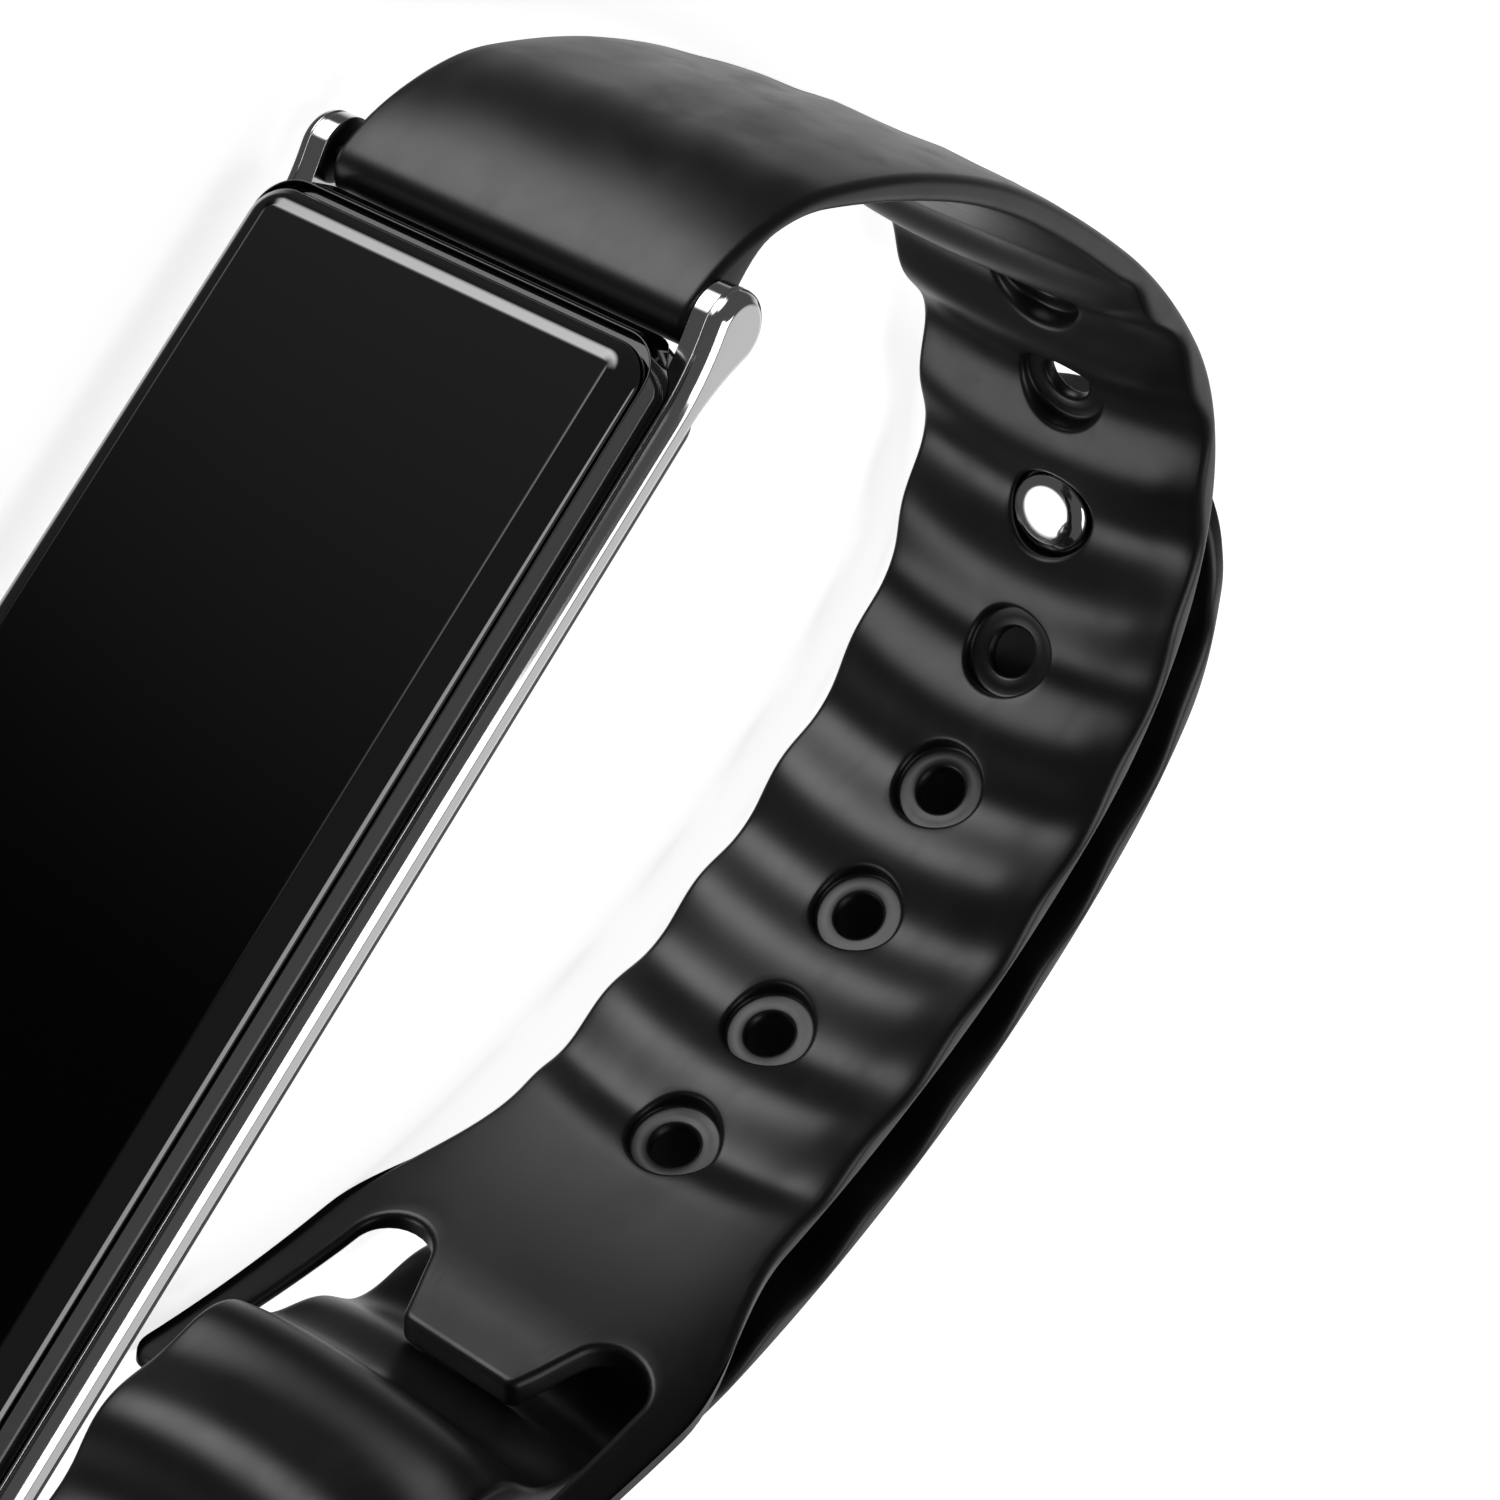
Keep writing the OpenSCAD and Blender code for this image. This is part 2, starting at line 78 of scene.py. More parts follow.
def lattice_noise(i: Array, j: Array, seed: float) -> Array:
    """A fixed number from -1 to 1 for each lattice point: the fraction of a large sine."""
    value = np.sin(i * 127.1 + j * 311.7 + seed * 74.7) * 43758.5453
    return 2.0 * (value - np.floor(value)) - 1.0


def resample(points: Array, count: int) -> Array:
    """Points at equal distances along a polyline.

    Args:
        points: corner points, shape (n, 2).
        count: number of equal steps.

    Returns:
        count + 1 points.
    """
    steps = np.r_[0.0, np.cumsum(np.hypot(*np.diff(points, axis=0).T))]
    at = np.linspace(0.0, steps[-1], count + 1)
    return np.c_[np.interp(at, steps, points[:, 0]), np.interp(at, steps, points[:, 1])]


def arc(centre: Sequence[float], radius: float, start: float, end: float, count: int = 10) -> Array:
    """Points on a circle from one angle to another, in degrees.

    Args:
        centre: the circle's centre.
        radius: its radius.
        start: first angle.
        end: last angle.
        count: number of steps.

    Returns:
        count + 1 points.
    """
    a = np.radians(np.linspace(start, end, count + 1))
    return np.c_[centre[0] + radius * np.cos(a), centre[1] + radius * np.sin(a)]


class BendLine:
    """A line in the side plane, read by distance along it, with its outward normal."""

    def __init__(self, points: Array, outward: float) -> None:
        """Keeps dense points of the line.

        Args:
            points: dense points along the line, in the CAD source's side plane.
            outward: 1 where outward is left of the way along, -1 where it is right.
        """
        steps = np.hypot(*np.diff(points, axis=0).T)
        self.along = np.r_[0.0, np.cumsum(steps)]
        tangent = np.gradient(points, self.along, axis=0)
        tangent /= np.linalg.norm(tangent, axis=1)[:, None]
        self.points = points
        self.normals = outward * np.c_[-tangent[:, 1], tangent[:, 0]]
        self.start_dir = tangent[0]

    @property
    def length(self) -> float:
        """Length of the whole line."""
        return float(self.along[-1])

    def at(self, s: Array) -> tuple[Array, Array]:
        """Points and outward normals at distances s; before 0 the line runs on straight."""
        p = np.stack([np.interp(s, self.along, self.points[:, k]) for k in (0, 1)], -1)
        n = np.stack([np.interp(s, self.along, self.normals[:, k]) for k in (0, 1)], -1)
        p = p + np.minimum(s, 0.0)[..., None] * self.start_dir
        return p, n / np.linalg.norm(n, axis=-1, keepdims=True)

    def bend(self, s: Array, x: Array, off: Array) -> Array:
        """Flat strap coordinates to the row frame, in metres: point plus normal times offset."""
        p, n = self.at(np.asarray(s, float))
        side = p + n * np.asarray(off, float)[..., None] - CENTRE
        return np.concatenate([side, (np.asarray(x, float) + MID_Z)[..., None]], -1) * MM


@dataclass(frozen=True)
class StrapPlan:
    """The driving sizes that both strap halves share with the CAD frame."""

    arcs: tuple[tuple[float, float], ...] = (
        (7, -54), (7, -7), (7, -11), (8, -5), (9, -13), (12, -42), (12, -46), (12, -17), (31.4, -33))
    start: tuple[float, float, float] = (-22.6, -40.07, 179.0)
    first_hole: float = 37.5
    pitch: float = 6.5
    holes: int = 8
    stud_index: int = 2
    thickness: float = 1.5
    frame_half: float = 9.3
    loop_end: float = 105.4
    slot_end: float = 103.2
    tongue: float = 96.6
    cross: float = 99.6
    cross_slope: float = 0.84
    tail_rise: float = 88.0
    tail_gap: float = 4.5
    near_gap: float = 4.0
    near_at: float = 57.0
    stud_gap: float = 2.4
    bulge: tuple[float, float] = (31.6, -20.5)
    lower_start: tuple[float, float] = (22.6, -40.07)
    reach: tuple[float, float] = (30.0, 42.0)

    @property
    def stud_at(self) -> float:
        """Distance of the stud's hole from the lug."""
        return self.first_hole + self.stud_index * self.pitch

    @property
    def holes_from(self) -> float:
        """Where the row of hole cells begins."""
        return self.first_hole - self.pitch / 2

    @property
    def holes_to(self) -> float:
        """Where the row of hole cells ends."""
        return self.first_hole + (self.holes - 0.5) * self.pitch

    def upper_line(self) -> BendLine:
        """The holed strap's wrist-side line: arcs of (length, turn), each integrated in small steps."""
        step = 0.05
        turn_rate = np.concatenate([np.full(round(n / step), t / n) for n, t in self.arcs])
        heading = np.radians(self.start[2] + np.r_[0.0, np.cumsum(turn_rate) * step])
        middle = (heading[1:] + heading[:-1]) / 2
        xy = np.cumsum(np.c_[np.cos(middle), np.sin(middle)] * step, axis=0)
        return BendLine(np.vstack([[0.0, 0.0], xy]) + np.array(self.start[:2]), 1.0)

    def tail_offset(self, s: Array) -> Array:
        """Gap of the tail's wrist-side face from the upper line: a rise out of the slot, a long
        plateau, and a drop onto the strap at the stud, joined by smooth steps."""
        u = (self.cross - s) / (self.cross - self.tail_rise)
        lift = self.tail_gap * ease(u) + self.cross_slope * (self.cross - self.tail_rise) * u * (1 - u) ** 2
        sink = ease((self.tail_rise - s) / (self.tail_rise - self.near_at))
        run = self.tail_gap + (self.near_gap - self.tail_gap) * sink
        climb = ease((s - self.stud_at) / (self.near_at - self.stud_at))
        drop = self.stud_gap + (self.near_gap - self.stud_gap) * climb
        return np.where(s >= self.tail_rise, lift, np.where(s >= self.near_at, run, drop))

    def lower_line(self, upper: BendLine) -> tuple[BendLine, float]:
        """The tail strap's wrist-side line, from the lower lug to the tail's end.

        Two Hermite curves run from the lug to the bulge and on to the slot; from there the line
        keeps the tail's gap outside the upper line.

        Args:
            upper: the holed strap's line.

        Returns:
            The line, and the distance along it at which it crosses the slot.
        """
        cross, normal = upper.at(np.array([self.cross]))
        tangent = math.degrees(math.atan2(-normal[0, 0], normal[0, 1]))
        heading = tangent + 180.0 - math.degrees(math.atan(self.cross_slope))
        u = np.linspace(0.0, 1.0, 700)[:, None]
        first = hermite(self.lower_start, self.bulge, 4.0, 90.0, self.reach[0], u)
        second = hermite(self.bulge, cross[0], 90.0, heading, self.reach[1], u)
        s = np.arange(self.cross, self.stud_at - 4.3 - 1e-6, -0.05)
        p, n = upper.at(s)
        tail = p + n * self.tail_offset(s)[:, None]
        points = np.vstack([first[:-1], second[:-1], tail])
        line = BendLine(points, -1.0)
        return line, float(line.along[len(first) + len(second) - 2])


def hermite(p: Sequence[float], q: Sequence[float], hp: float, hq: float, reach: float, u: Array) -> Array:
    """Cubic Hermite curve between two points with given headings in degrees.

    Args:
        p: first point.
        q: last point.
        hp: heading at the first point.
        hq: heading at the last point.
        reach: length of both end tangents.
        u: column of parameters from 0 to 1.

    Returns:
        Points, shape (len(u), 2).
    """
    a = u * u * (3 - 2 * u)
    b = u * (1 - u) ** 2
    c = u * u * (u - 1)
    way_p = np.array([math.cos(math.radians(hp)), math.sin(math.radians(hp))])
    way_q = np.array([math.cos(math.radians(hq)), math.sin(math.radians(hq))])
    return np.array(p) * (1 - a) + np.array(q) * a + reach * (b * way_p + c * way_q)


# ---------------------------------------------------------------- meshes
class Skin:
    """Collects grids of points and welds them into one smooth closed mesh."""

    def __init__(self, name: str) -> None:
        """Starts an empty skin with the finished object's name."""
        self.name = name
        self.points: list[Array] = []
        self.faces: list[Array] = []
        self.caps: list[list[int]] = []
        self.count = 0

    def grid(self, points: Array, wrap: bool = False) -> Array:
        """Adds a grid of quads.

        Args:
            points: shape (rows, columns, 3), in metres.
            wrap: whether the first row follows the last one.

        Returns:
            The indices of the grid's points.
        """
        rows, cols = points.shape[:2]
        index = np.arange(rows * cols).reshape(rows, cols) + self.count
        here = np.vstack([index, index[:1]]) if wrap else index
        quads = np.stack([here[:-1, :-1], here[1:, :-1], here[1:, 1:], here[:-1, 1:]], -1)
        self.points.append(points.reshape(-1, 3))
        self.faces.append(quads.reshape(-1, 4))
        self.count += rows * cols
        return index

    def cap(self, ring: Array) -> None:
        """Closes a ring of point indices with one flat face."""
        self.caps.append([int(k) for k in ring])

    def build(self, weld: float = 2e-6) -> bpy.types.Object:
        """Makes the object: welds shared points, points the faces outwards and smooths them."""
        mesh = bpy.data.meshes.new(self.name)
        faces = [tuple(f) for f in np.vstack(self.faces).tolist()] + [tuple(c) for c in self.caps]
        mesh.from_pydata(np.vstack(self.points).tolist(), [], faces)
        work = bmesh.new()
        work.from_mesh(mesh)
        bmesh.ops.remove_doubles(work, verts=work.verts, dist=weld)
        bmesh.ops.dissolve_degenerate(work, edges=work.edges, dist=weld / 4)
        bmesh.ops.recalc_face_normals(work, faces=work.faces)
        work.to_mesh(mesh)
        work.free()
        mesh.shade_smooth()
        piece = bpy.data.objects.new(self.name, mesh)
        bpy.context.scene.collection.objects.link(piece)
        return piece


def outline(length: float, width: float, radius: float, inset: float, corner_steps: int = 12,
            side_steps: int = 10) -> Array:
    """A rounded rectangle drawn in by an inset, always with the same number of points.

    Args:
        length: full length along X.
        width: full width across.
        radius: corner radius before the inset.
        inset: how far the outline is drawn in.
        corner_steps: steps in each corner.
        side_steps: steps along each straight side.

    Returns:
        Closed ring of points, shape (n, 2).
    """
    r = max(radius - inset, 0.04)
    hx, hy = length / 2 - inset - r, width / 2 - inset - r
    parts = []
    centres = ((hx, hy, 0), (-hx, hy, 90), (-hx, -hy, 180), (hx, -hy, 270))
    for k, (cx, cy, a) in enumerate(centres):
        bend = arc((cx, cy), r, a, a + 90, corner_steps)
        nx, ny, na = centres[(k + 1) % 4]
        after = arc((nx, ny), r, na, na + 1, 1)[0]
        side = np.linspace(bend[-1], after, side_steps + 1)[1:-1]
        parts += [bend, side]
    return np.vstack(parts)


def module_points(xy: Array, depth: Array) -> Array:
    """Module coordinates (along, across, depth below the glass) to the row frame, in metres."""
    depth = np.broadcast_to(depth, xy.shape[:-1])
    return np.stack([xy[..., 0] - CENTRE[0], FACE_Y - CENTRE[1] + depth, xy[..., 1] + MID_Z], -1) * MM


def smooth_profile(corners: Sequence[tuple[float, float, float]],
                   steps: int = 6) -> list[tuple[float, float]]:
    """Rounds the corners of an (inset, depth) profile with short arcs.

    Args:
        corners: (inset, depth, radius) of each corner.
        steps: steps in each rounding.

    Returns:
        The profile's points, with one close neighbour kept on each side of a rounding.
    """
    p = np.array([c[:2] for c in corners])
    out: list[tuple[float, float]] = [tuple(p[0])]
    for k in range(1, len(p) - 1):
        r = corners[k][2]
        a, b = p[k - 1] - p[k], p[k + 1] - p[k]
        la, lb = np.hypot(*a), np.hypot(*b)
        cut = min(r, 0.48 * la, 0.48 * lb)
        p0, p2 = p[k] + a / la * cut, p[k] + b / lb * cut
        u = np.linspace(0, 1, steps + 1)[:, None]
        curve = (1 - u) ** 2 * p0 + 2 * u * (1 - u) * p[k] + u * u * p2
        edge = 0.15 * cut
        out.append(tuple(p0 + a / la * min(edge, 0.01 * la + edge)))
        out += [tuple(q) for q in curve]
        out.append(tuple(p2 + b / lb * edge))
    out.append(tuple(p[-1]))
    return out


def shell(name: str, length: float, width: float, radius: float,
          profile: Sequence[tuple[float, float]]) -> bpy.types.Object:
    """A closed shell: a rounded rectangle carried down a profile of (inset, depth), with flat ends.

    Args:
        name: object name.
        length: outline length.
        width: outline width.
        radius: outline corner radius.
        profile: inset and depth of each ring, from the first flat end to the last.

    Returns:
        The object.
    """
    skin = Skin(name)
    rings = np.stack([module_points(outline(length, width, radius, i), d) for i, d in profile], 1)
    index = skin.grid(rings, wrap=True)
    skin.cap(index[:, 0])
    skin.cap(index[:, -1])
    return skin.build()


def lathe(name: str, centre: Array, axis: Array, profile: Sequence[tuple[float, float]],
          steps: int = 48) -> bpy.types.Object:
    """A solid of revolution: each (radius, height) of the profile turned about an axis.

    Args:
        name: object name.
        centre: the axis's base point, in metres.
        axis: unit direction of the height.
        profile: radius and height pairs in mm; a zero radius closes an end.
        steps: steps round the axis.

    Returns:
        The object.
    """
    a = np.linspace(0, 2 * np.pi, steps, endpoint=False)
    side = np.cross(axis, [0.0, 0.0, 1.0] if abs(axis[2]) < 0.9 else [1.0, 0.0, 0.0])
    side /= np.linalg.norm(side)
    other = np.cross(axis, side)
    r = np.array([p[0] for p in profile])[None, :, None] * MM
    h = np.array([p[1] for p in profile])[None, :, None] * MM
    ring = np.cos(a)[:, None, None] * side + np.sin(a)[:, None, None] * other
    skin = Skin(name)
    skin.grid(centre + ring * r + axis * h, wrap=True)
    return skin.build(1e-7)


def carve(piece: bpy.types.Object, cutters: Sequence[bpy.types.Object]) -> None:
    """Cuts each cutter out of a piece and removes the cutters.

    Args:
        piece: the piece to cut.
        cutters: closed solids.
    """
    for cutter in cutters:
        cut = piece.modifiers.new("cut", "BOOLEAN")
        cut.operation = "DIFFERENCE"
        cut.solver = "EXACT"
        cut.object = cutter
    bpy.context.view_layer.update()
    solid = piece.evaluated_get(bpy.context.evaluated_depsgraph_get())
    mesh = bpy.data.meshes.new_from_object(solid)
    piece.modifiers.clear()
    piece.data = mesh
    for cutter in cutters:
        bpy.data.objects.remove(cutter)
    mesh.shade_smooth()
    mesh.set_sharp_from_angle(angle=math.radians(40))


# ---------------------------------------------------------------- finishes
class Effect(Enum):
    """The shader groups that finishes share."""

    GRAIN = "fine_grain"
    WEAR = "handling_wear"


def socket(group: bpy.types.NodeTree, name: str, way: str, kind: str, value: float | None = None) -> None:
    """Adds a named input or output to a node group, with its default value."""
    item = group.interface.new_socket(name=name, in_out=way, socket_type=kind)
    if value is not None:
        item.default_value = value


def grain_group() -> bpy.types.NodeTree:
    """Moulded or cast grain: two octaves of noise give a height and a roughness change.

    Returns:
        The group, with inputs Vector, Scale, Depth and Spread and outputs Height and Variation.
    """
    g = bpy.data.node_groups.new(Effect.GRAIN.value, "ShaderNodeTree")
    socket(g, "Vector", "INPUT", "NodeSocketVector")
    socket(g, "Scale", "INPUT", "NodeSocketFloat", 9000.0)
    socket(g, "Depth", "INPUT", "NodeSocketFloat", 0.5)
    socket(g, "Spread", "INPUT", "NodeSocketFloat", 0.1)
    socket(g, "Height", "OUTPUT", "NodeSocketFloat")
    socket(g, "Variation", "OUTPUT", "NodeSocketFloat")
    n, link = g.nodes, g.links
    inp, out = n.new("NodeGroupInput"), n.new("NodeGroupOutput")
    fine, broad = n.new("ShaderNodeTexNoise"), n.new("ShaderNodeTexNoise")
    fine.inputs["Detail"].default_value = 3.0
    broad.inputs["Detail"].default_value = 2.0
    slow = n.new("ShaderNodeMath")
    slow.operation = "MULTIPLY"
    slow.inputs[1].default_value = 0.035
    link.new(inp.outputs["Scale"], slow.inputs[0])
    link.new(inp.outputs["Vector"], fine.inputs["Vector"])
    link.new(inp.outputs["Scale"], fine.inputs["Scale"])
    link.new(inp.outputs["Vector"], broad.inputs["Vector"])
    link.new(slow.outputs[0], broad.inputs["Scale"])
    height = n.new("ShaderNodeMath")
    height.operation = "MULTIPLY"
    link.new(fine.outputs["Fac"], height.inputs[0])
    link.new(inp.outputs["Depth"], height.inputs[1])
    change = n.new("ShaderNodeMath")
    change.operation = "SUBTRACT"
    change.inputs[1].default_value = 0.5
    link.new(broad.outputs["Fac"], change.inputs[0])
    spread = n.new("ShaderNodeMath")
    spread.operation = "MULTIPLY"
    link.new(change.outputs[0], spread.inputs[0])
    link.new(inp.outputs["Spread"], spread.inputs[1])
    link.new(height.outputs[0], out.inputs["Height"])
    link.new(spread.outputs[0], out.inputs["Variation"])
    return g


def wear_group() -> bpy.types.NodeTree:
    """Handling wear: fine one-way scratches and faint smudges as a mask from 0 to 1.

    Returns:
        The group, with inputs Vector, Scale and Amount and output Mask.
    """
    g = bpy.data.node_groups.new(Effect.WEAR.value, "ShaderNodeTree")
    socket(g, "Vector", "INPUT", "NodeSocketVector")
    socket(g, "Scale", "INPUT", "NodeSocketFloat", 300.0)
    socket(g, "Amount", "INPUT", "NodeSocketFloat", 0.2)
    socket(g, "Mask", "OUTPUT", "NodeSocketFloat")
    n, link = g.nodes, g.links
    inp, out = n.new("NodeGroupInput"), n.new("NodeGroupOutput")
    stretch = n.new("ShaderNodeMapping")
    stretch.inputs["Scale"].default_value = (0.06, 1.0, 1.0)
    stretch.inputs["Rotation"].default_value = (0.0, 0.0, 0.21)
    noise = n.new("ShaderNodeTexNoise")
    noise.inputs["Detail"].default_value = 5.0
    noise.inputs["Roughness"].default_value = 0.62
    ramp = n.new("ShaderNodeValToRGB")
    ramp.color_ramp.elements[0].position = 0.52
    ramp.color_ramp.elements[1].position = 0.86
    amount = n.new("ShaderNodeMath")
    amount.operation = "MULTIPLY"
    link.new(inp.outputs["Vector"], stretch.inputs["Vector"])
    link.new(stretch.outputs["Vector"], noise.inputs["Vector"])
    link.new(inp.outputs["Scale"], noise.inputs["Scale"])
    link.new(noise.outputs["Fac"], ramp.inputs["Fac"])
    link.new(ramp.outputs["Color"], amount.inputs[0])
    link.new(inp.outputs["Amount"], amount.inputs[1])
    link.new(amount.outputs[0], out.inputs["Mask"])
    return g


GROUPS = {Effect.GRAIN: grain_group(), Effect.WEAR: wear_group()}


@dataclass(frozen=True)
class Finish:
    """One surface finish, built from grain and handling wear over a principled shader.

    mask names a mesh attribute that weights the coat; without one the coat is even.
    """

    name: str
    colour: tuple[float, float, float]
    worn: tuple[float, float, float]
    roughness: float
    metallic: float = 0.0
    specular: float = 0.5
    coat: float = 0.0
    coat_roughness: float = 0.05
    coat_ior: float = 1.5
    grain: float = 0.2
    grain_scale: float = 9000.0
    bump: float = 0.1
    spread: float = 0.08
    wear: float = 0.15
    wear_scale: float = 260.0
    mask: str = ""

    def material(self) -> bpy.types.Material:
        """Builds the material, or returns the one that is built already."""
        title = "look_" + self.name  # the frame brings in plain materials that have the slots' names
        if title in bpy.data.materials:
            return bpy.data.materials[title]
        m = bpy.data.materials.new(title)
        m.use_nodes = True
        n, link = m.node_tree.nodes, m.node_tree.links
        shader = n["Principled BSDF"]
        place = n.new("ShaderNodeTexCoord")
        grain, wear = n.new("ShaderNodeGroup"), n.new("ShaderNodeGroup")
        grain.node_tree, wear.node_tree = GROUPS[Effect.GRAIN], GROUPS[Effect.WEAR]
        grain.inputs["Scale"].default_value = self.grain_scale
        grain.inputs["Depth"].default_value = self.grain
        grain.inputs["Spread"].default_value = self.spread
        wear.inputs["Scale"].default_value = self.wear_scale
        wear.inputs["Amount"].default_value = self.wear
        for group in (grain, wear):
            link.new(place.outputs["Object"], group.inputs["Vector"])
        tint = n.new("ShaderNodeMix")
        tint.data_type = "RGBA"
        tint.inputs["A"].default_value = (*self.colour, 1.0)
        tint.inputs["B"].default_value = (*self.worn, 1.0)
        link.new(wear.outputs["Mask"], tint.inputs["Factor"])
        link.new(tint.outputs["Result"], shader.inputs["Base Color"])
        rough, rougher = n.new("ShaderNodeMath"), n.new("ShaderNodeMath")
        rough.operation, rougher.operation = "ADD", "MULTIPLY_ADD"
        rough.inputs[1].default_value = self.roughness
        rough.use_clamp = rougher.use_clamp = True
        rougher.inputs[1].default_value = 0.25
        link.new(grain.outputs["Variation"], rough.inputs[0])
        link.new(wear.outputs["Mask"], rougher.inputs[0])
        link.new(rough.outputs[0], rougher.inputs[2])
        link.new(rougher.outputs[0], shader.inputs["Roughness"])
        bump = n.new("ShaderNodeBump")
        bump.inputs["Strength"].default_value = self.bump
        bump.inputs["Distance"].default_value = 0.00003
        link.new(grain.outputs["Height"], bump.inputs["Height"])
        link.new(bump.outputs["Normal"], shader.inputs["Normal"])
        shader.inputs["Metallic"].default_value = self.metallic
        shader.inputs["Specular IOR Level"].default_value = self.specular
        shader.inputs["Coat Weight"].default_value = self.coat
        if self.mask:
            mark = n.new("ShaderNodeAttribute")
            mark.attribute_name = self.mask
            link.new(mark.outputs["Fac"], shader.inputs["Coat Weight"])
        shader.inputs["Coat Roughness"].default_value = self.coat_roughness
        shader.inputs["Coat IOR"].default_value = self.coat_ior
        return m


STRAP = Finish("moulded_strap", (0.0075, 0.0075, 0.008), (0.013, 0.013, 0.0135), 0.36, specular=0.5,
               grain=0.5, grain_scale=14000.0, bump=0.16, spread=0.12, wear=0.5, wear_scale=420.0)
LENS = Finish("black_glass", (0.0012, 0.0012, 0.0013), (0.002, 0.002, 0.0021), 0.1, specular=0.04,
              mask="bevel", coat_ior=2.1,
              grain=0.1, grain_scale=3000.0, bump=0.0, spread=0.02, wear=0.06, wear_scale=150.0)
BODY = Finish("gloss_black_body", (0.0015, 0.0015, 0.0016), (0.004, 0.004, 0.004), 0.07, specular=0.5,
              grain=0.2, grain_scale=6000.0, bump=0.02, spread=0.03, wear=0.12)
STEEL = Finish("polished_steel", (0.86, 0.86, 0.87), (0.6, 0.6, 0.62), 0.085, metallic=1.0,
               grain=0.3, grain_scale=11000.0, bump=0.02, spread=0.05, wear=0.16, wear_scale=340.0)
SATIN = Finish("satin_back", (0.011, 0.011, 0.012), (0.024, 0.024, 0.025), 0.36, grain=0.5,
               grain_scale=12000.0, bump=0.2, spread=0.1, wear=0.35)
SLOT_FINISHES: dict[str, Finish] = {
    "black_glass": LENS,
    "display": Finish("dark_display", (0.002, 0.002, 0.004), (0.004, 0.004, 0.006), 0.15),
    "black_rubber": Finish("black_gasket", (0.012, 0.012, 0.012), (0.03, 0.03, 0.03), 0.75, bump=0.4,
                           grain=0.6),
    "flex_circuit": Finish("amber_flex", (0.42, 0.20, 0.035), (0.30, 0.13, 0.02), 0.35, grain=0.4, wear=0.4),
    "gloss_black": BODY,
    "polished_steel": STEEL,
    "screw_steel": Finish("turned_steel", (0.48, 0.48, 0.50), (0.3, 0.3, 0.31), 0.28, metallic=1.0, wear=0.4),
    "circuit_board": Finish("board_mask", (0.01, 0.075, 0.035), (0.02, 0.11, 0.05), 0.32, grain=0.7,
                            bump=0.3, wear=0.5),
    "chip_black": Finish("chip_epoxy", (0.014, 0.014, 0.015), (0.03, 0.03, 0.03), 0.5, grain=0.8, bump=0.3),
    "shield_metal": Finish("tinned_shield", (0.6, 0.6, 0.61), (0.4, 0.4, 0.41), 0.32, metallic=1.0,
                           wear=0.5),
    "battery_foil": Finish("battery_foil", (0.66, 0.67, 0.69), (0.5, 0.5, 0.52), 0.4, metallic=0.9,
                           grain=0.9, bump=0.5),
    "satin_black": SATIN,
    "sensor_glass": Finish("sensor_window", (0.006, 0.0015, 0.002), (0.01, 0.003, 0.004), 0.05, coat=0.6,
                           bump=0.0),
    "led_lens": Finish("led_lens", (0.10, 0.45, 0.14), (0.2, 0.6, 0.2), 0.2, coat=0.4),
    "gold_contact": Finish("gold_contact", (0.83, 0.57, 0.20), (0.6, 0.38, 0.12), 0.18, metallic=1.0,
                           wear=0.4),
    "strap_black": STRAP,
}


def dress(piece: bpy.types.Object, finish: Finish) -> None:
    """Gives a piece one finish all over."""
    piece.data.materials.clear()
    piece.data.materials.append(finish.material())


def hand_over(piece: bpy.types.Object, body: str, slot: str, nodes: Sequence[str] = ()) -> None:
    """Dresses a finished piece, puts it on its body and hides the CAD nodes that it replaces.

    Args:
        piece: the finished piece.
        body: the CAD body that it rides on.
        slot: the record's material slot.
        nodes: CAD nodes that the piece replaces.
    """
    dress(piece, SLOT_FINISHES[slot])
    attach(piece, body)
    if nodes:
        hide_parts(*nodes)
    log.info("%s rides on %s, %d faces", piece.name, body, len(piece.data.polygons))


# ---------------------------------------------------------------- strap halves
def round_off(distance: Array, radius: float) -> Array:
    """How far a face falls at a distance from its edge, so that the edge is a quarter round."""
    gap = radius - np.clip(distance, 0.0, radius)
    return radius - np.sqrt(np.maximum(radius * radius - gap * gap, 0.0))


def facet_height(s: Array, x: Array, cell: float, seed: float) -> Array:
    """Moulded lozenge facets: random heights on a slanted lattice, with a flat triangle between
    each three neighbours.

    Args:
        s: distance along the strap.
        x: position across it.
        cell: size of a lattice cell.
        seed: picks the random heights.

    Returns:
        Heights from -1 to 1.
    """
    u, v = (s + 0.62 * x) / cell, (x - 0.12 * s) / cell
    i, j = np.floor(u), np.floor(v)
    fu, fv = u - i, v - j
    low, high = lattice_noise(i, j, seed), lattice_noise(i + 1, j + 1, seed)
    right, top = lattice_noise(i + 1, j, seed), lattice_noise(i, j + 1, seed)
    near = low + fu * (right - low) + fv * (top - low)
    far = high + (1 - fu) * (top - high) + (1 - fv) * (right - high)
    return np.where(fu + fv < 1, near, far)


@dataclass(frozen=True)
class Columns:
    """Positions across a strap: a fine middle, plain sides and two rounded edges."""

    middle: float = 3.25
    middle_steps: int = 24
    side_steps: int = 10
    edge_steps: int = 6
    edge: float = 0.32

    @property
    def inner(self) -> int:
        """Number of columns from the middle line to the start of the rounded edge."""
        return self.middle_steps // 2 + self.side_steps

    def across(self, half: Array) -> Array:
        """Positions of every column, one row for each half width."""
        half = np.asarray(half, float)[:, None]
        centre = np.linspace(0, self.middle, self.middle_steps // 2 + 1)[None, :] + 0 * half
        steps = np.linspace(0, 1, self.side_steps + 1)[None, 1:]
        side = self.middle + (half - self.edge - self.middle) * steps
        turn = np.radians(np.linspace(0, 90, self.edge_steps + 1)[None, 1:])
        edge = half - self.edge + self.edge * np.sin(turn)
        right = np.hstack([centre, side, edge])
        return np.hstack([-right[:, :0:-1], right])


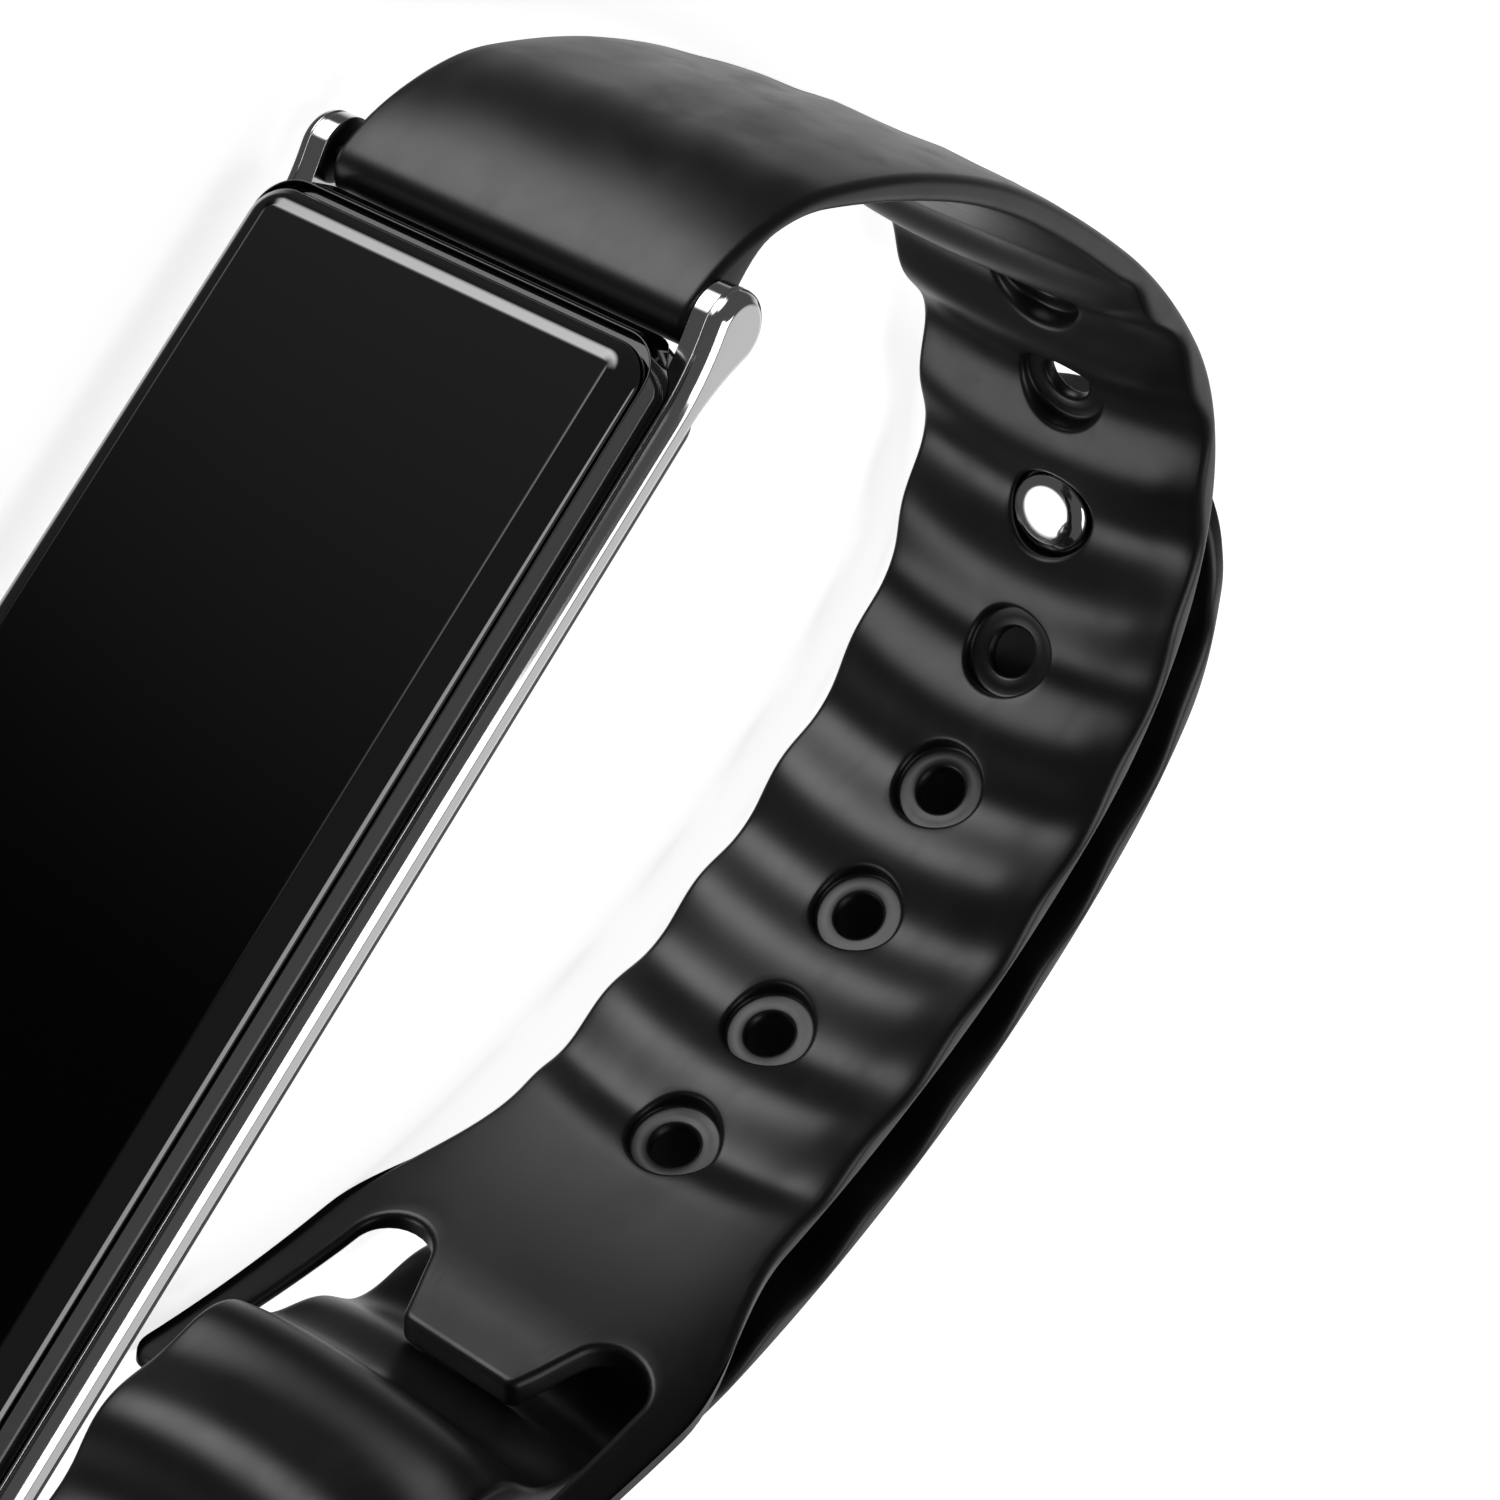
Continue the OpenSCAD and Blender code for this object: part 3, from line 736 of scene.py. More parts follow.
@dataclass(frozen=True)
class StrapShape:
    """The looks of both strap halves: thickness, crown, waves and facets."""

    plan: StrapPlan = field(default_factory=StrapPlan)
    columns: Columns = field(default_factory=Columns)
    root_half: float = 7.2
    end_half: float = 7.05
    barrel_at: float = 0.6
    barrel_r: float = 1.05
    crown: float = 0.34
    inner_crown: float = 0.26
    wave: float = 0.36
    calm: float = 0.3
    wave_bow: float = 1.0
    facet: float = 0.085
    facet_cell: float = 2.5
    flare: tuple[float, float] = (84.6, 94.0)

    def half(self, s: Array) -> Array:
        """Half width of the holed strap: a slight taper, then a smooth flare to the loop."""
        plain = self.root_half + (self.end_half - self.root_half) * np.clip(s / self.flare[0], 0, 1)
        widen = ease((s - self.flare[0]) / (self.flare[1] - self.flare[0]))
        return plain + (self.plan.frame_half - plain) * widen

    def root(self, s: Array) -> tuple[Array, Array]:
        """Outer and inner heights of the plain section, with the barrel round the bar at its start.

        Up to the bar both faces are the circle sqrt(r^2 - (s - bar)^2), and past it each eases to
        the plain strap.
        """
        p = self.plan
        rel = np.clip((self.barrel_at - s) / self.barrel_r, 0, 1)
        circle = self.barrel_r * np.sqrt(1 - rel * rel)
        outer = self.barrel_r + (p.thickness - self.barrel_r) * ease((s - self.barrel_at) / 12)
        inner = -self.barrel_r * (1 - ease((s - self.barrel_at) / 3.6))
        before = s < self.barrel_at
        return np.where(before, circle, outer), np.where(before, -circle, inner)

    def waves(self, s: Array, x: Array, start: float, end: float, phase: float) -> Array:
        """Cross waves of the wrist side, one per hole pitch: a cosine whose crests bow along the
        strap, faded in and out at the ends and calmer near the upper edge."""
        half = self.end_half
        at = s + self.wave_bow * (x / half) ** 2
        rim = 1 - self.calm * ease((x - 4.9) / 1.9)
        fade = ease((at - start) / 4) * (1 - ease((at - end) / 3)) * rim
        return self.wave * np.cos(2 * np.pi * (at - phase) / self.plan.pitch) * fade

    def outer(self, s: Array, x: Array, facets_to: float, seed: float) -> Array:
        """Height of the outer face: plain section, crown and facets."""
        top, _ = self.root(s)
        fade = ease((s - 2.5) / 2.5) * (1 - ease((s - facets_to) / 10)) * (1 - ease((np.abs(x) - 5.9) / 1.0))
        return (top - self.crown * np.abs(x / self.root_half) ** 2.6 * ease(s / 5)
                + self.facet * facet_height(s, x, self.facet_cell, seed) * fade)

    def inner(self, s: Array, x: Array) -> Array:
        """Height of the wrist side, before its waves."""
        _, low = self.root(s)
        return low + self.inner_crown * np.abs(x / self.root_half) ** 4 * ease(s / 5)


class UpperStrap:
    """The strap half with the adjustment holes and the loop end, drawn as one moulding."""

    def __init__(self, shape: StrapShape) -> None:
        """Prepares the bend line and an empty skin."""
        self.shape = shape
        self.plan = shape.plan
        self.line = self.plan.upper_line()
        self.skin = Skin("strap_holed_half")
        self.hole_r = 1.05
        self.recess_r = 1.95
        self.floor = 0.78
        self.start = self.plan.holes_to

    def outer(self, s: Array, x: Array) -> Array:
        """Outer face height, with the tongue dipping outwards between the lobes."""
        return self.shape.outer(s, x, 60.0, 3.0) + self.dip(s, x)

    def inner(self, s: Array, x: Array) -> Array:
        """Wrist side height, with its waves."""
        wave = self.shape.waves(s, x, 29.0, 82.5, self.plan.first_hole)
        return self.shape.inner(s, x) + wave + self.dip(s, x)

    def dip(self, s: Array, x: Array) -> Array:
        """Outward lean of the tongue."""
        return 0.35 * ease((s - 93.0) / 3.6) * ease((4.4 - np.abs(x)) / 1.2) * (s < 99.0)

    def put(self, s: Array, x: Array, off: Array, mirror: bool = False) -> None:
        """Adds a grid, and its mirror image across the middle line where asked."""
        self.skin.grid(self.line.bend(s, x, off))
        if mirror:
            self.skin.grid(self.line.bend(s, -x, off))

    def faces(self, s: Array, x: Array, drop: Array, mirror: bool = False) -> None:
        """Adds the outer and the inner face over the same plan grid."""
        top, low = self.outer(s, x), self.inner(s, x)
        drop = drop * np.clip((top - low) / (2.2 * self.shape.columns.edge), 0, 1)
        self.put(s, x, top - drop, mirror)
        self.put(s, x, low + drop, mirror)

    def band(self) -> None:
        """Root and hole zone: full-width rows, with square gaps left round the holes."""
        p, cols = self.plan, self.shape.columns
        turn = np.radians(np.linspace(90, 0, 15))
        barrel = self.shape.barrel_at - self.shape.barrel_r * np.sin(turn)
        root = np.linspace(self.shape.barrel_at, p.holes_from, 110)[1:]
        zone = np.linspace(p.holes_from, p.holes_to, cols.middle_steps * p.holes + 1)
        self.rows(np.r_[barrel, root], False)
        self.rows(zone, True)

    def rows(self, s: Array, gap: bool) -> None:
        """Adds full-width rows, or the two side strips of the hole zone."""
        cols = self.shape.columns
        x = cols.across(self.shape.half(s))
        along = np.broadcast_to(s[:, None], x.shape)
        half = self.shape.half(s)[:, None]
        drop = round_off(half - np.abs(x), cols.edge)
        side = cols.side_steps + cols.edge_steps
        if gap:
            self.faces(along[:, :side + 1], x[:, :side + 1], drop[:, :side + 1])
            self.faces(along[:, -side - 1:], x[:, -side - 1:], drop[:, -side - 1:])
        else:
            self.faces(along, x, drop)
        for k in (0, -1):
            top, low = self.outer(along[:, k], x[:, k]), self.inner(along[:, k], x[:, k])
            fall = cols.edge * np.clip((top - low) / (2.2 * cols.edge), 0, 1)
            wall = np.stack([top - fall, (top + low) / 2, low + fall], 1)
            self.put(along[:, [k] * 3], x[:, [k] * 3], wall)

    def hole(self, centre: float) -> None:
        """One adjustment hole: a round recess on the wrist side and a bore through to the outside.

        Each face is a patch from a circle to the square gap: point = circle + (square - circle) t.
        """
        p, cols = self.plan, self.shape.columns
        n, h = cols.middle_steps, cols.middle
        side = np.linspace(-h, h, n + 1)[:-1]
        square = np.vstack([np.c_[0 * side + h, side], np.c_[-side, 0 * side + h],
                            np.c_[0 * side - h, -side], np.c_[side, 0 * side - h]])
        angle = np.arctan2(square[:, 1], square[:, 0])
        way = np.c_[np.cos(angle), np.sin(angle)]
        t = np.linspace(0, 1, 8)[None, :, None]
        turn = np.radians(np.linspace(0, 90, 6))
        for radius, fillet, inside in ((self.recess_r, 0.22, True), (self.hole_r, 0.14, False)):
            ring = way[:, None, :] * (radius + fillet)
            plan = ring + (square[:, None, :] - ring) * t
            bend = radius + fillet * (1 - np.sin(turn))
            edge = way[:, None, :] * bend[None, :, None]
            height = self.inner if inside else self.outer
            sign = 1.0 if inside else -1.0
            s, x = centre + plan[..., 0], plan[..., 1]
            self.wrap(s, x, height(s, x))
            s, x = centre + edge[..., 0], edge[..., 1]
            rim = height(s, x) + sign * fillet * (1 - np.cos(turn))
            self.wrap(s, x, rim)
            if inside:
                self.well(centre, way, rim[:, -1])
            else:
                bore = way[:, None, :] * np.full((1, 2, 1), radius)
                s, x = centre + bore[..., 0], bore[..., 1]
                self.wrap(s, x, np.stack([rim[:, -1], 0 * rim[:, -1] + self.floor + 0.1], 1))

    def well(self, centre: float, way: Array, rim: Array) -> None:
        """Recess wall, its floor and the small chamfer into the bore."""
        fall = np.linspace(0, 1, 4)[None, :]
        floor = [self.recess_r - 0.06, self.recess_r - 0.16, 1.5, 1.2, 1.13, self.hole_r]
        radius = np.array([self.recess_r] * 4 + floor)
        low = self.floor
        wall = rim[:, None] + (low - 0.1 - rim[:, None]) * fall
        base = np.broadcast_to([low - 0.03, low, low, low, low + 0.03, low + 0.1], (len(way), 6))
        spot = way[:, None, :] * radius[None, :, None]
        self.wrap(centre + spot[..., 0], spot[..., 1], np.hstack([wall, base]))

    def wrap(self, s: Array, x: Array, off: Array) -> None:
        """Adds a grid whose first row follows its last."""
        self.skin.grid(self.line.bend(s, x, off), wrap=True)

    def slot_outline(self) -> Array:
        """Half of the slot's outline, from the tongue's tip round a lobe to the far end."""
        p = self.plan
        corner = (p.tongue - 0.6, 2.45)
        lobe, r = (94.35, 5.6), 1.75
        far = 1.0
        tip = np.c_[np.full(5, p.tongue), np.linspace(0, corner[1], 5)]
        bend = arc(corner, 0.6, 0, 66, 5)[1:]
        crown = arc(lobe, r, -112, -235, 10)
        flank = np.linspace(bend[-1], crown[0], 4)[1:-1]
        shoulder = arc(lobe, r, -235, -270, 6)[1:]
        side = np.linspace((95.0, 7.37), (p.slot_end - far, 7.7), 23)
        end = arc((p.slot_end - far, 7.7 - far), far, 90, 0, 6)[1:]
        close = np.linspace(end[-1], (p.slot_end, 0.0), 13)[1:]
        return np.vstack([tip, bend, flank, crown, shoulder, side, end, close])

    def outer_outline(self, count: int) -> Array:
        """Half of the loop's outline past the holes, in as many points as the slot has left."""
        p, r = self.plan, 1.3
        s = np.linspace(self.start, self.shape.flare[1], 40)
        flare = np.c_[s, self.shape.half(s)]
        side = np.array([[p.loop_end - r, p.frame_half]])
        bend = arc((p.loop_end - r, p.frame_half - r), r, 90, 0, 8)
        close = np.array([[p.loop_end, 0.0]])
        first = resample(flare, 14)
        second = resample(np.vstack([flare[-1:], side]), 14)[1:]
        third = bend[1:]
        left = count - len(first) - len(second) - len(third)
        last = resample(np.vstack([bend[-1:], close]), left)[1:]
        return np.vstack([first, second, third, last])

    def loop(self) -> None:
        """The loop end: a patch between the slot and the outline, with rounded edges and walls."""
        cols = self.shape.columns
        slot = self.slot_outline()
        joint = cols.inner
        rim = self.outer_outline(len(slot) - joint)
        inward_slot = self.normals(slot, -1.0)
        inward_rim = self.normals(rim, 1.0)
        turn = np.radians(np.linspace(90, 0, cols.edge_steps + 1))
        move = cols.edge * (1 - np.sin(turn))
        band = cols.across(np.array([self.shape.half(np.array(self.start))]))[0]
        band = band[len(band) // 2:][:joint + 1]
        joined = np.vstack([np.c_[np.full(joint, self.start), band[:-1]], rim + inward_rim * cols.edge])
        near = slot + inward_slot * cols.edge
        fillet = slot[:, None, :] + inward_slot[:, None, :] * move[None, :, None]
        self.sheet(fillet, round_off(move, cols.edge))
        t = np.linspace(0, 1, 12)[None, :, None]
        self.sheet(near[:, None, :] + (joined - near)[:, None, :] * t, np.zeros(12))
        edge = rim[:, None, :] + inward_rim[:, None, :] * move[None, :, None]
        self.sheet(edge, round_off(move, cols.edge))
        for outline_points in (slot, rim):
            s, x = outline_points[:, :1], outline_points[:, 1:]
            top, low = self.outer(s, x) - cols.edge, self.inner(s, x) + cols.edge
            wall = np.hstack([top, (2 * top + low) / 3, (top + 2 * low) / 3, low])
            self.put(np.repeat(s, 4, 1), np.repeat(x, 4, 1), wall, True)

    def sheet(self, plan: Array, drop: Array) -> None:
        """Adds both faces of a loop patch and their mirror images."""
        s, x = plan[..., 0], plan[..., 1]
        self.put(s, x, self.outer(s, x) - drop, True)
        self.put(s, x, self.inner(s, x) + drop, True)

    def normals(self, points: Array, side: float) -> Array:
        """Unit normals of an open outline, square to the middle line at its ends."""
        way = np.gradient(points, axis=0)
        way /= np.linalg.norm(way, axis=1)[:, None]
        n = side * np.c_[way[:, 1], -way[:, 0]]
        n[-1] = (np.sign(n[-1, 0]), 0.0)
        n[0] = (np.sign(n[0, 0]), 0.0) if points[0, 1] == 0 else (0.0, -1.0)
        return n

    def build(self) -> bpy.types.Object:
        """Draws every zone and welds them."""
        self.band()
        for k in range(self.plan.holes):
            self.hole(self.plan.first_hole + k * self.plan.pitch)
        self.loop()
        piece = self.skin.build()
        piece.data.set_sharp_from_angle(angle=math.radians(55))
        hand_over(piece, "strap", "strap_black", ("strap_root", "strap_arch", "strap_holes", "strap_loop"))
        return piece


class LowerStrap:
    """The strap half from the lower lug through the slot to the rounded tail."""

    def __init__(self, shape: StrapShape, upper: BendLine) -> None:
        """Prepares the bend line and the place where the strap crosses the slot."""
        self.shape = shape
        self.plan = shape.plan
        self.line, self.cross = self.plan.lower_line(upper)
        self.half = 7.1
        self.wave_end = self.line.length - 8.0

    def outer(self, t: Array, x: Array) -> Array:
        """Outer face height."""
        return self.shape.outer(t, x, 70.0, 8.0)

    def inner(self, t: Array, x: Array) -> Array:
        """Wrist side height, with its waves."""
        return self.shape.inner(t, x) + self.shape.waves(t, x, 17.0, self.wave_end, 2.0)

    def part(self, name: str, t: Array, rounded: bool) -> bpy.types.Object:
        """One length of the strap as a closed tube.

        Args:
            name: object name.
            t: distances of the rows.
            rounded: whether the last rows close in a half round.

        Returns:
            The object.
        """
        cols, r = self.shape.columns, self.half
        left = self.line.length - t
        curve = np.sqrt(np.clip(1 - np.clip((r - left) / r, 0, 1) ** 2, 0, 1))
        spread = curve if rounded else np.ones_like(t)
        x = cols.across(np.full(len(t), r)) * spread[:, None]
        along = np.broadcast_to(t[:, None], x.shape)
        past = np.clip(r - left, 0, None)[:, None] if rounded else 0.0
        distance = r - np.hypot(past, x)
        top, low = self.outer(along, x), self.inner(along, x)
        drop = round_off(distance, cols.edge) * np.clip((top - low) / (2.2 * cols.edge), 0, 1)
        top, low = top - drop, low + drop
        skin = Skin(name)
        first = skin.grid(self.line.bend(along, x, top))
        second = skin.grid(self.line.bend(along, x, low))
        for k in (0, -1):
            mid = (top[:, k] + low[:, k]) / 2
            wall = np.stack([top[:, k], mid, low[:, k]], 1)
            skin.grid(self.line.bend(along[:, [k] * 3], x[:, [k] * 3], wall))
        ends = ([0] if t[0] > 1 else []) + ([] if rounded else [-1])
        for k in ends:
            pair = np.stack([top[k], (top[k] + low[k]) / 2, low[k]], 0)
            skin.grid(self.line.bend(np.full_like(pair, t[k]), np.vstack([x[k]] * 3), pair))
        piece = skin.build()
        piece.data.set_sharp_from_angle(angle=math.radians(55))
        return piece

    def point(self, t: float) -> Array:
        """A point on the line in the row frame, in metres."""
        return self.line.bend(np.array([t]), np.array([0.0]), np.array([0.75]))[0]

    def build(self, peel: float) -> None:
        """Draws the half in two lengths that meet inside the slot.

        Args:
            peel: distance from the slot at which the real tail bends when it is lifted; the points worked out
                from it are not used, so nothing bends.
        """
        turn = np.radians(np.linspace(90, 0, 15))
        barrel = self.shape.barrel_at - self.shape.barrel_r * np.sin(turn)
        run = np.linspace(self.shape.barrel_at, self.cross, 190)[1:]
        low = self.part("strap_tail_half_lower", np.r_[barrel, run], False)
        ramp = self.line.length - self.half
        tail_run = np.linspace(self.cross, ramp, 170)
        tip = ramp + self.half * np.sin(np.radians(np.linspace(0, 90, 31)))[1:]
        tail = self.part("strap_tail_half_end", np.r_[tail_run, tip], True)
        halves = ((low, ("lower_strap_root", "lower_strap_throat")), (tail, ("tail_base", "tail_end")))
        for piece, nodes in halves:
            dress(piece, STRAP)
            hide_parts(*nodes)
        bend = self.cross + peel
        self.point(self.cross - 4.0)
        self.point(self.cross - 17.0)
        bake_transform(low)
        self.point(bend - 9.0)
        self.point(bend + 4.0)
        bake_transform(tail)


# ---------------------------------------------------------------- module
@dataclass(frozen=True)
class ModulePlan:
    """Outline and depths of the display module."""

    glass: tuple[float, float] = (42.0, 15.6)
    frame: tuple[float, float] = (42.8, 15.8)
    back: tuple[float, float] = (42.6, 15.6)
    corner: float = 1.3
    lug_x: float = 23.2
    ear_r: float = 1.3
    rail: tuple[float, float] = (2.2, 3.4)
    depth: float = 6.5
    screws: tuple[float, float] = (18.4, 4.7)
    contact_x: float = -13.5
    contact_gap: float = 1.5
    bevel: float = 0.96
    bevel_blend: float = 0.1
    lip: float = 0.55
    lip_from: tuple[float, float] = (0.985, 1.0)
    lip_blend: tuple[float, float] = (0.012, 0.25)


class Module:
    """Glass, frame, polished side rails and back cover of the display module."""

    def __init__(self, plan: ModulePlan) -> None:
        """Keeps the plan."""
        self.plan = plan

    def glass(self) -> None:
        """Cover glass: flat face, two soft bevel steps, a straight edge and a small lower chamfer."""
        corners = [(0.98, 0.0, 0), (0.9, 0.0, 0.06), (0.46, 0.15, 0.16), (0.05, 0.5, 0.2), (0.0, 0.72, 0.08),
                   (0.0, 0.9, 0.04), (0.6, 0.9, 0)]
        piece = shell("glass_lens", *self.plan.glass, self.plan.corner, smooth_profile(corners))
        self.mark_bevel(piece)
        hand_over(piece, "module", "black_glass", ("cover_glass",))

    def mark_bevel(self, piece: bpy.types.Object) -> None:
        """Adds the attribute that the glass finish reads: 0 on the flat face, rising to 1 past its rim.

        Args:
            piece: the glass.
        """
        p = self.plan
        flat = np.array([p.glass[0] / 2 - p.bevel, p.glass[1] / 2 - p.bevel])
        spots = np.array([v.co for v in piece.data.vertices]) / MM - (0.0, 0.0, MID_Z)
        spots[:, 0] += CENTRE[0]
        over = np.maximum(np.abs(spots[:, 0]) - flat[0], np.abs(spots[:, 2]) - flat[1])
        mark = piece.data.attributes.new(LENS.mask, "FLOAT", "POINT")
        mark.data.foreach_set("value", np.clip(over / p.bevel_blend, 0, 1))

    def stretch_ends(self, piece: bpy.types.Object) -> None:
        """Draws the frame's ends out below the glass rim, up to the strap's barrel.

        Each end moves by lip * ease(along) * ease(below), so the rim round the glass stays.

        Args:
            piece: the frame.
        """
        p = self.plan
        spots = np.array([v.co for v in piece.data.vertices])
        across = (spots[:, 0] / MM + CENTRE[0]) / (p.frame[0] / 2)
        down = spots[:, 1] / MM + CENTRE[1] - FACE_Y
        along = ease((np.abs(across) - p.lip_from[0]) / p.lip_blend[0])
        below = ease((down - p.lip_from[1]) / p.lip_blend[1])
        spots[:, 0] += np.sign(across) * MM * p.lip * along * below
        piece.data.vertices.foreach_set("co", spots.ravel())
        piece.data.update()

    def frame(self) -> None:
        """Frame: display pocket, rim round the glass, straight gloss side, and the skirt below."""
        corners = [(3.2, 1.9, 0), (1.4, 1.9, 0.1), (1.4, 1.12, 0.05), (0.07, 1.12, 0.02), (0.07, 0.72, 0.03),
                   (0.0, 0.72, 0.03), (0.0, 2.12, 0.05), (0.12, 2.16, 0.03), (0.12, 2.3, 0.03),
                   (0.05, 2.34, 0.03),
                   (0.05, 4.2, 0.08), (0.85, 4.2, 0.05), (0.85, 2.3, 0.1), (3.2, 2.3, 0)]
        piece = shell("frame_bezel", *self.plan.frame, self.plan.corner + 0.1, smooth_profile(corners, 4))
        self.stretch_ends(piece)
        hand_over(piece, "module", "gloss_black", ("mid_frame",))

    def rail_outline(self, inset: float) -> Array:
        """A rail's outline in (along, depth): a straight bar that swells smoothly into round lugs.

        The half height is a Hermite blend from the bar to the lug's circle.

        Args:
            inset: how far the outline is drawn in.

        Returns:
            Closed ring of points.
        """
        p = self.plan
        bar, begin, join = (p.rail[1] - p.rail[0]) / 2, p.lug_x - 3.4, p.lug_x - 0.5
        rise = math.sqrt(p.ear_r ** 2 - 0.25)
        t = np.linspace(0, 1, 15)
        a = t * t * (3 - 2 * t)
        swell = bar + (rise - bar) * a + (join - begin) * (0.5 / rise) * t * t * (t - 1)
        top = np.vstack([np.c_[np.linspace(0, begin, 25)[:-1], np.full(24, bar)],
                         np.c_[begin + (join - begin) * t, swell]])
        start = math.degrees(math.atan2(rise, -0.5))
        nose = arc((p.lug_x, 0.0), p.ear_r, start, 0, 16)[1:]
        quarter = np.vstack([top, nose])
        right = np.vstack([quarter, (quarter * [1, -1])[::-1][1:-1]])
        ring = np.vstack([right, (right * [-1, -1])])
        way = np.roll(ring, -1, axis=0) - np.roll(ring, 1, axis=0)
        way /= np.linalg.norm(way, axis=1)[:, None]
        inner = ring + inset * np.c_[way[:, 1], -way[:, 0]]
        return inner * [1, 1] + [0, (p.rail[0] + p.rail[1]) / 2]

    def rail(self, name: str, side: int, node: str) -> None:
        """One polished rail with its two lugs: the outline carried outwards down a rounded profile.

        Args:
            name: object name.
            side: 1 or -1 along the wrist axis.
            node: the CAD node it stands for.
        """
        corners = [(0.08, 7.42, 0), (0.0, 7.42, 0.03), (0.0, 7.98, 0.03), (0.09, 8.02, 0.02),
                   (0.09, 8.08, 0.02),
                   (0.0, 8.12, 0.04), (0.06, 8.38, 0.16), (0.34, 8.6, 0.14), (0.55, 8.6, 0)]
        skin = Skin(name)
        rings = []
        for inset, out in smooth_profile(corners, 5):
            ring = self.rail_outline(inset)
            rings.append(np.c_[ring[:, 0] - CENTRE[0], FACE_Y - CENTRE[1] + ring[:, 1],
                               np.full(len(ring), side * out + MID_Z)] * MM)
        index = skin.grid(np.stack(rings, 1), wrap=True)
        skin.cap(index[:, 0])
        skin.cap(index[:, -1])
        piece = skin.build()
        piece.data.set_sharp_from_angle(angle=math.radians(50))
        hand_over(piece, "module", "polished_steel", (node,))

    def spot(self, x: float, y: float, depth: float) -> Array:
        """A point of the module in the row frame, in metres."""
        return module_points(np.array([[x, y]]), depth)[0]

    def round_cutter(self, x: float, y: float, radius: float, top: float, low: float) -> bpy.types.Object:
        """A round cutter between two depths."""
        return lathe("cutter", self.spot(x, y, top), np.array([0.0, 1.0, 0.0]),
                     [(0, 0), (radius, 0), (radius, low - top), (0, low - top)], 40)

    def back(self) -> None:
        """Back cover: a hollow dish with a stepped and rounded wrist side, cut for the window,
        the contacts and the screws."""
        p = self.plan
        corners = [(4.6, 5.6, 0), (1.6, 5.6, 0.3), (0.9, 5.0, 0.3), (0.9, 4.35, 0.05), (0.1, 4.35, 0.06),
                   (0.1, 4.75, 0.3), (0.8, 5.75, 0.7), (2.6, 6.5, 1.1), (4.6, 6.5, 0)]
        piece = shell("back_shell", *p.back, p.corner, smooth_profile(corners, 8))
        cutters = [self.round_cutter(0, 0, 4.06, 6.15, 8.0)]
        cutters += [self.round_cutter(p.contact_x + k * p.contact_gap, 0, 0.72, 5.0, 8.0) for k in (-1, 1)]
        corners_at = [(i * p.screws[0], j * p.screws[1]) for i in (-1, 1) for j in (-1, 1)]
        cutters += [self.round_cutter(x, y, 0.86, 5.2, 8.0) for x, y in corners_at]
        carve(piece, cutters)
        hand_over(piece, "module", "satin_black", ("back_cover",))

    def window(self) -> None:
        """Sensor window: a shallow dome with a rounded shoulder, profile h = H (1 - (r / R)^2)."""
        r = np.linspace(3.7, 0, 12)
        dome = [(v, 0.72 + 0.12 * (1 - (v / 3.7) ** 2)) for v in r]
        profile = [(0, 0), (4.0, 0), (4.0, 0.46), (3.97, 0.56), (3.9, 0.65), (3.8, 0.7)] + dome
        piece = lathe("sensor_dome", self.spot(0, 0, 6.16), np.array([0.0, 1.0, 0.0]), profile, 72)
        piece.data.set_sharp_from_angle(angle=math.radians(50))
        hand_over(piece, "module", "sensor_glass", ("sensor_window",))

    def contacts(self) -> None:
        """Charging contacts: domed pins with a flange, as one piece."""
        p = self.plan
        pins = []
        for k in (-1, 1):
            profile = [(0, 0), (0.88, 0), (0.88, 0.2), (0.6, 0.22), (0.6, 1.3), (0.57, 1.38), (0.48, 1.44),
                       (0.3, 1.475), (0, 1.49)]
            pins.append(lathe(f"pin_{k}", self.spot(p.contact_x + k * p.contact_gap, 0, 5.1),
                              np.array([0.0, 1.0, 0.0]), profile, 36))
        piece = join("contact_pins", pins)
        hand_over(piece, "module", "gold_contact", ("charging_contacts",))

    def screws(self) -> None:
        """Case screws: pan heads with a five-lobed recess, on plain shanks, as one piece."""
        p, heads = self.plan, []
        for i in (-1, 1):
            for j in (-1, 1):
                x, y = i * p.screws[0], j * p.screws[1]
                profile = [(0, -2.8), (0.42, -2.8), (0.42, 0), (0.75, 0.02), (0.75, 0.24), (0.72, 0.32),
                           (0.62, 0.38),
                           (0.4, 0.4), (0, 0.4)]
                head = lathe("head", self.spot(x, y, 5.25), np.array([0.0, 1.0, 0.0]), profile, 40)
                a = np.linspace(0, 2 * np.pi, 50, endpoint=False)
                radius = 0.26 + 0.06 * np.cos(5 * a)
                star = Skin("star")
                ring = np.c_[x + radius * np.cos(a + i), y + radius * np.sin(a + i)]
                walls = np.stack([module_points(ring, 5.45), module_points(ring, 6.2)], 1)
                cutter = star.grid(walls, wrap=True)
                star.cap(cutter[:, 0])
                star.cap(cutter[:, -1])
                carve(head, [star.build(1e-7)])
                heads.append(head)
        hand_over(join("case_screw_heads", heads), "module", "screw_steel", ("case_screws",))

    def build(self) -> None:
        """Builds every part of the module's outside."""
        self.glass()
        self.frame()
        self.rail("rail_polished_right", 1, "side_rail_right")
        self.rail("rail_polished_left", -1, "side_rail_left")
        self.back()
        self.window()
        self.contacts()
        self.screws()


def join(name: str, parts: Sequence[bpy.types.Object]) -> bpy.types.Object:
    """Joins parts into one object.

    Args:
        name: the joined object's name.
        parts: objects to join.

    Returns:
        The joined object.
    """
    work = bmesh.new()
    for part in parts:
        work.from_mesh(part.data)
        bpy.data.objects.remove(part)
    mesh = bpy.data.meshes.new(name)
    work.to_mesh(mesh)
    work.free()
    mesh.shade_smooth()
    mesh.set_sharp_from_angle(angle=math.radians(45))
    piece = bpy.data.objects.new(name, mesh)
    bpy.context.scene.collection.objects.link(piece)
    return piece


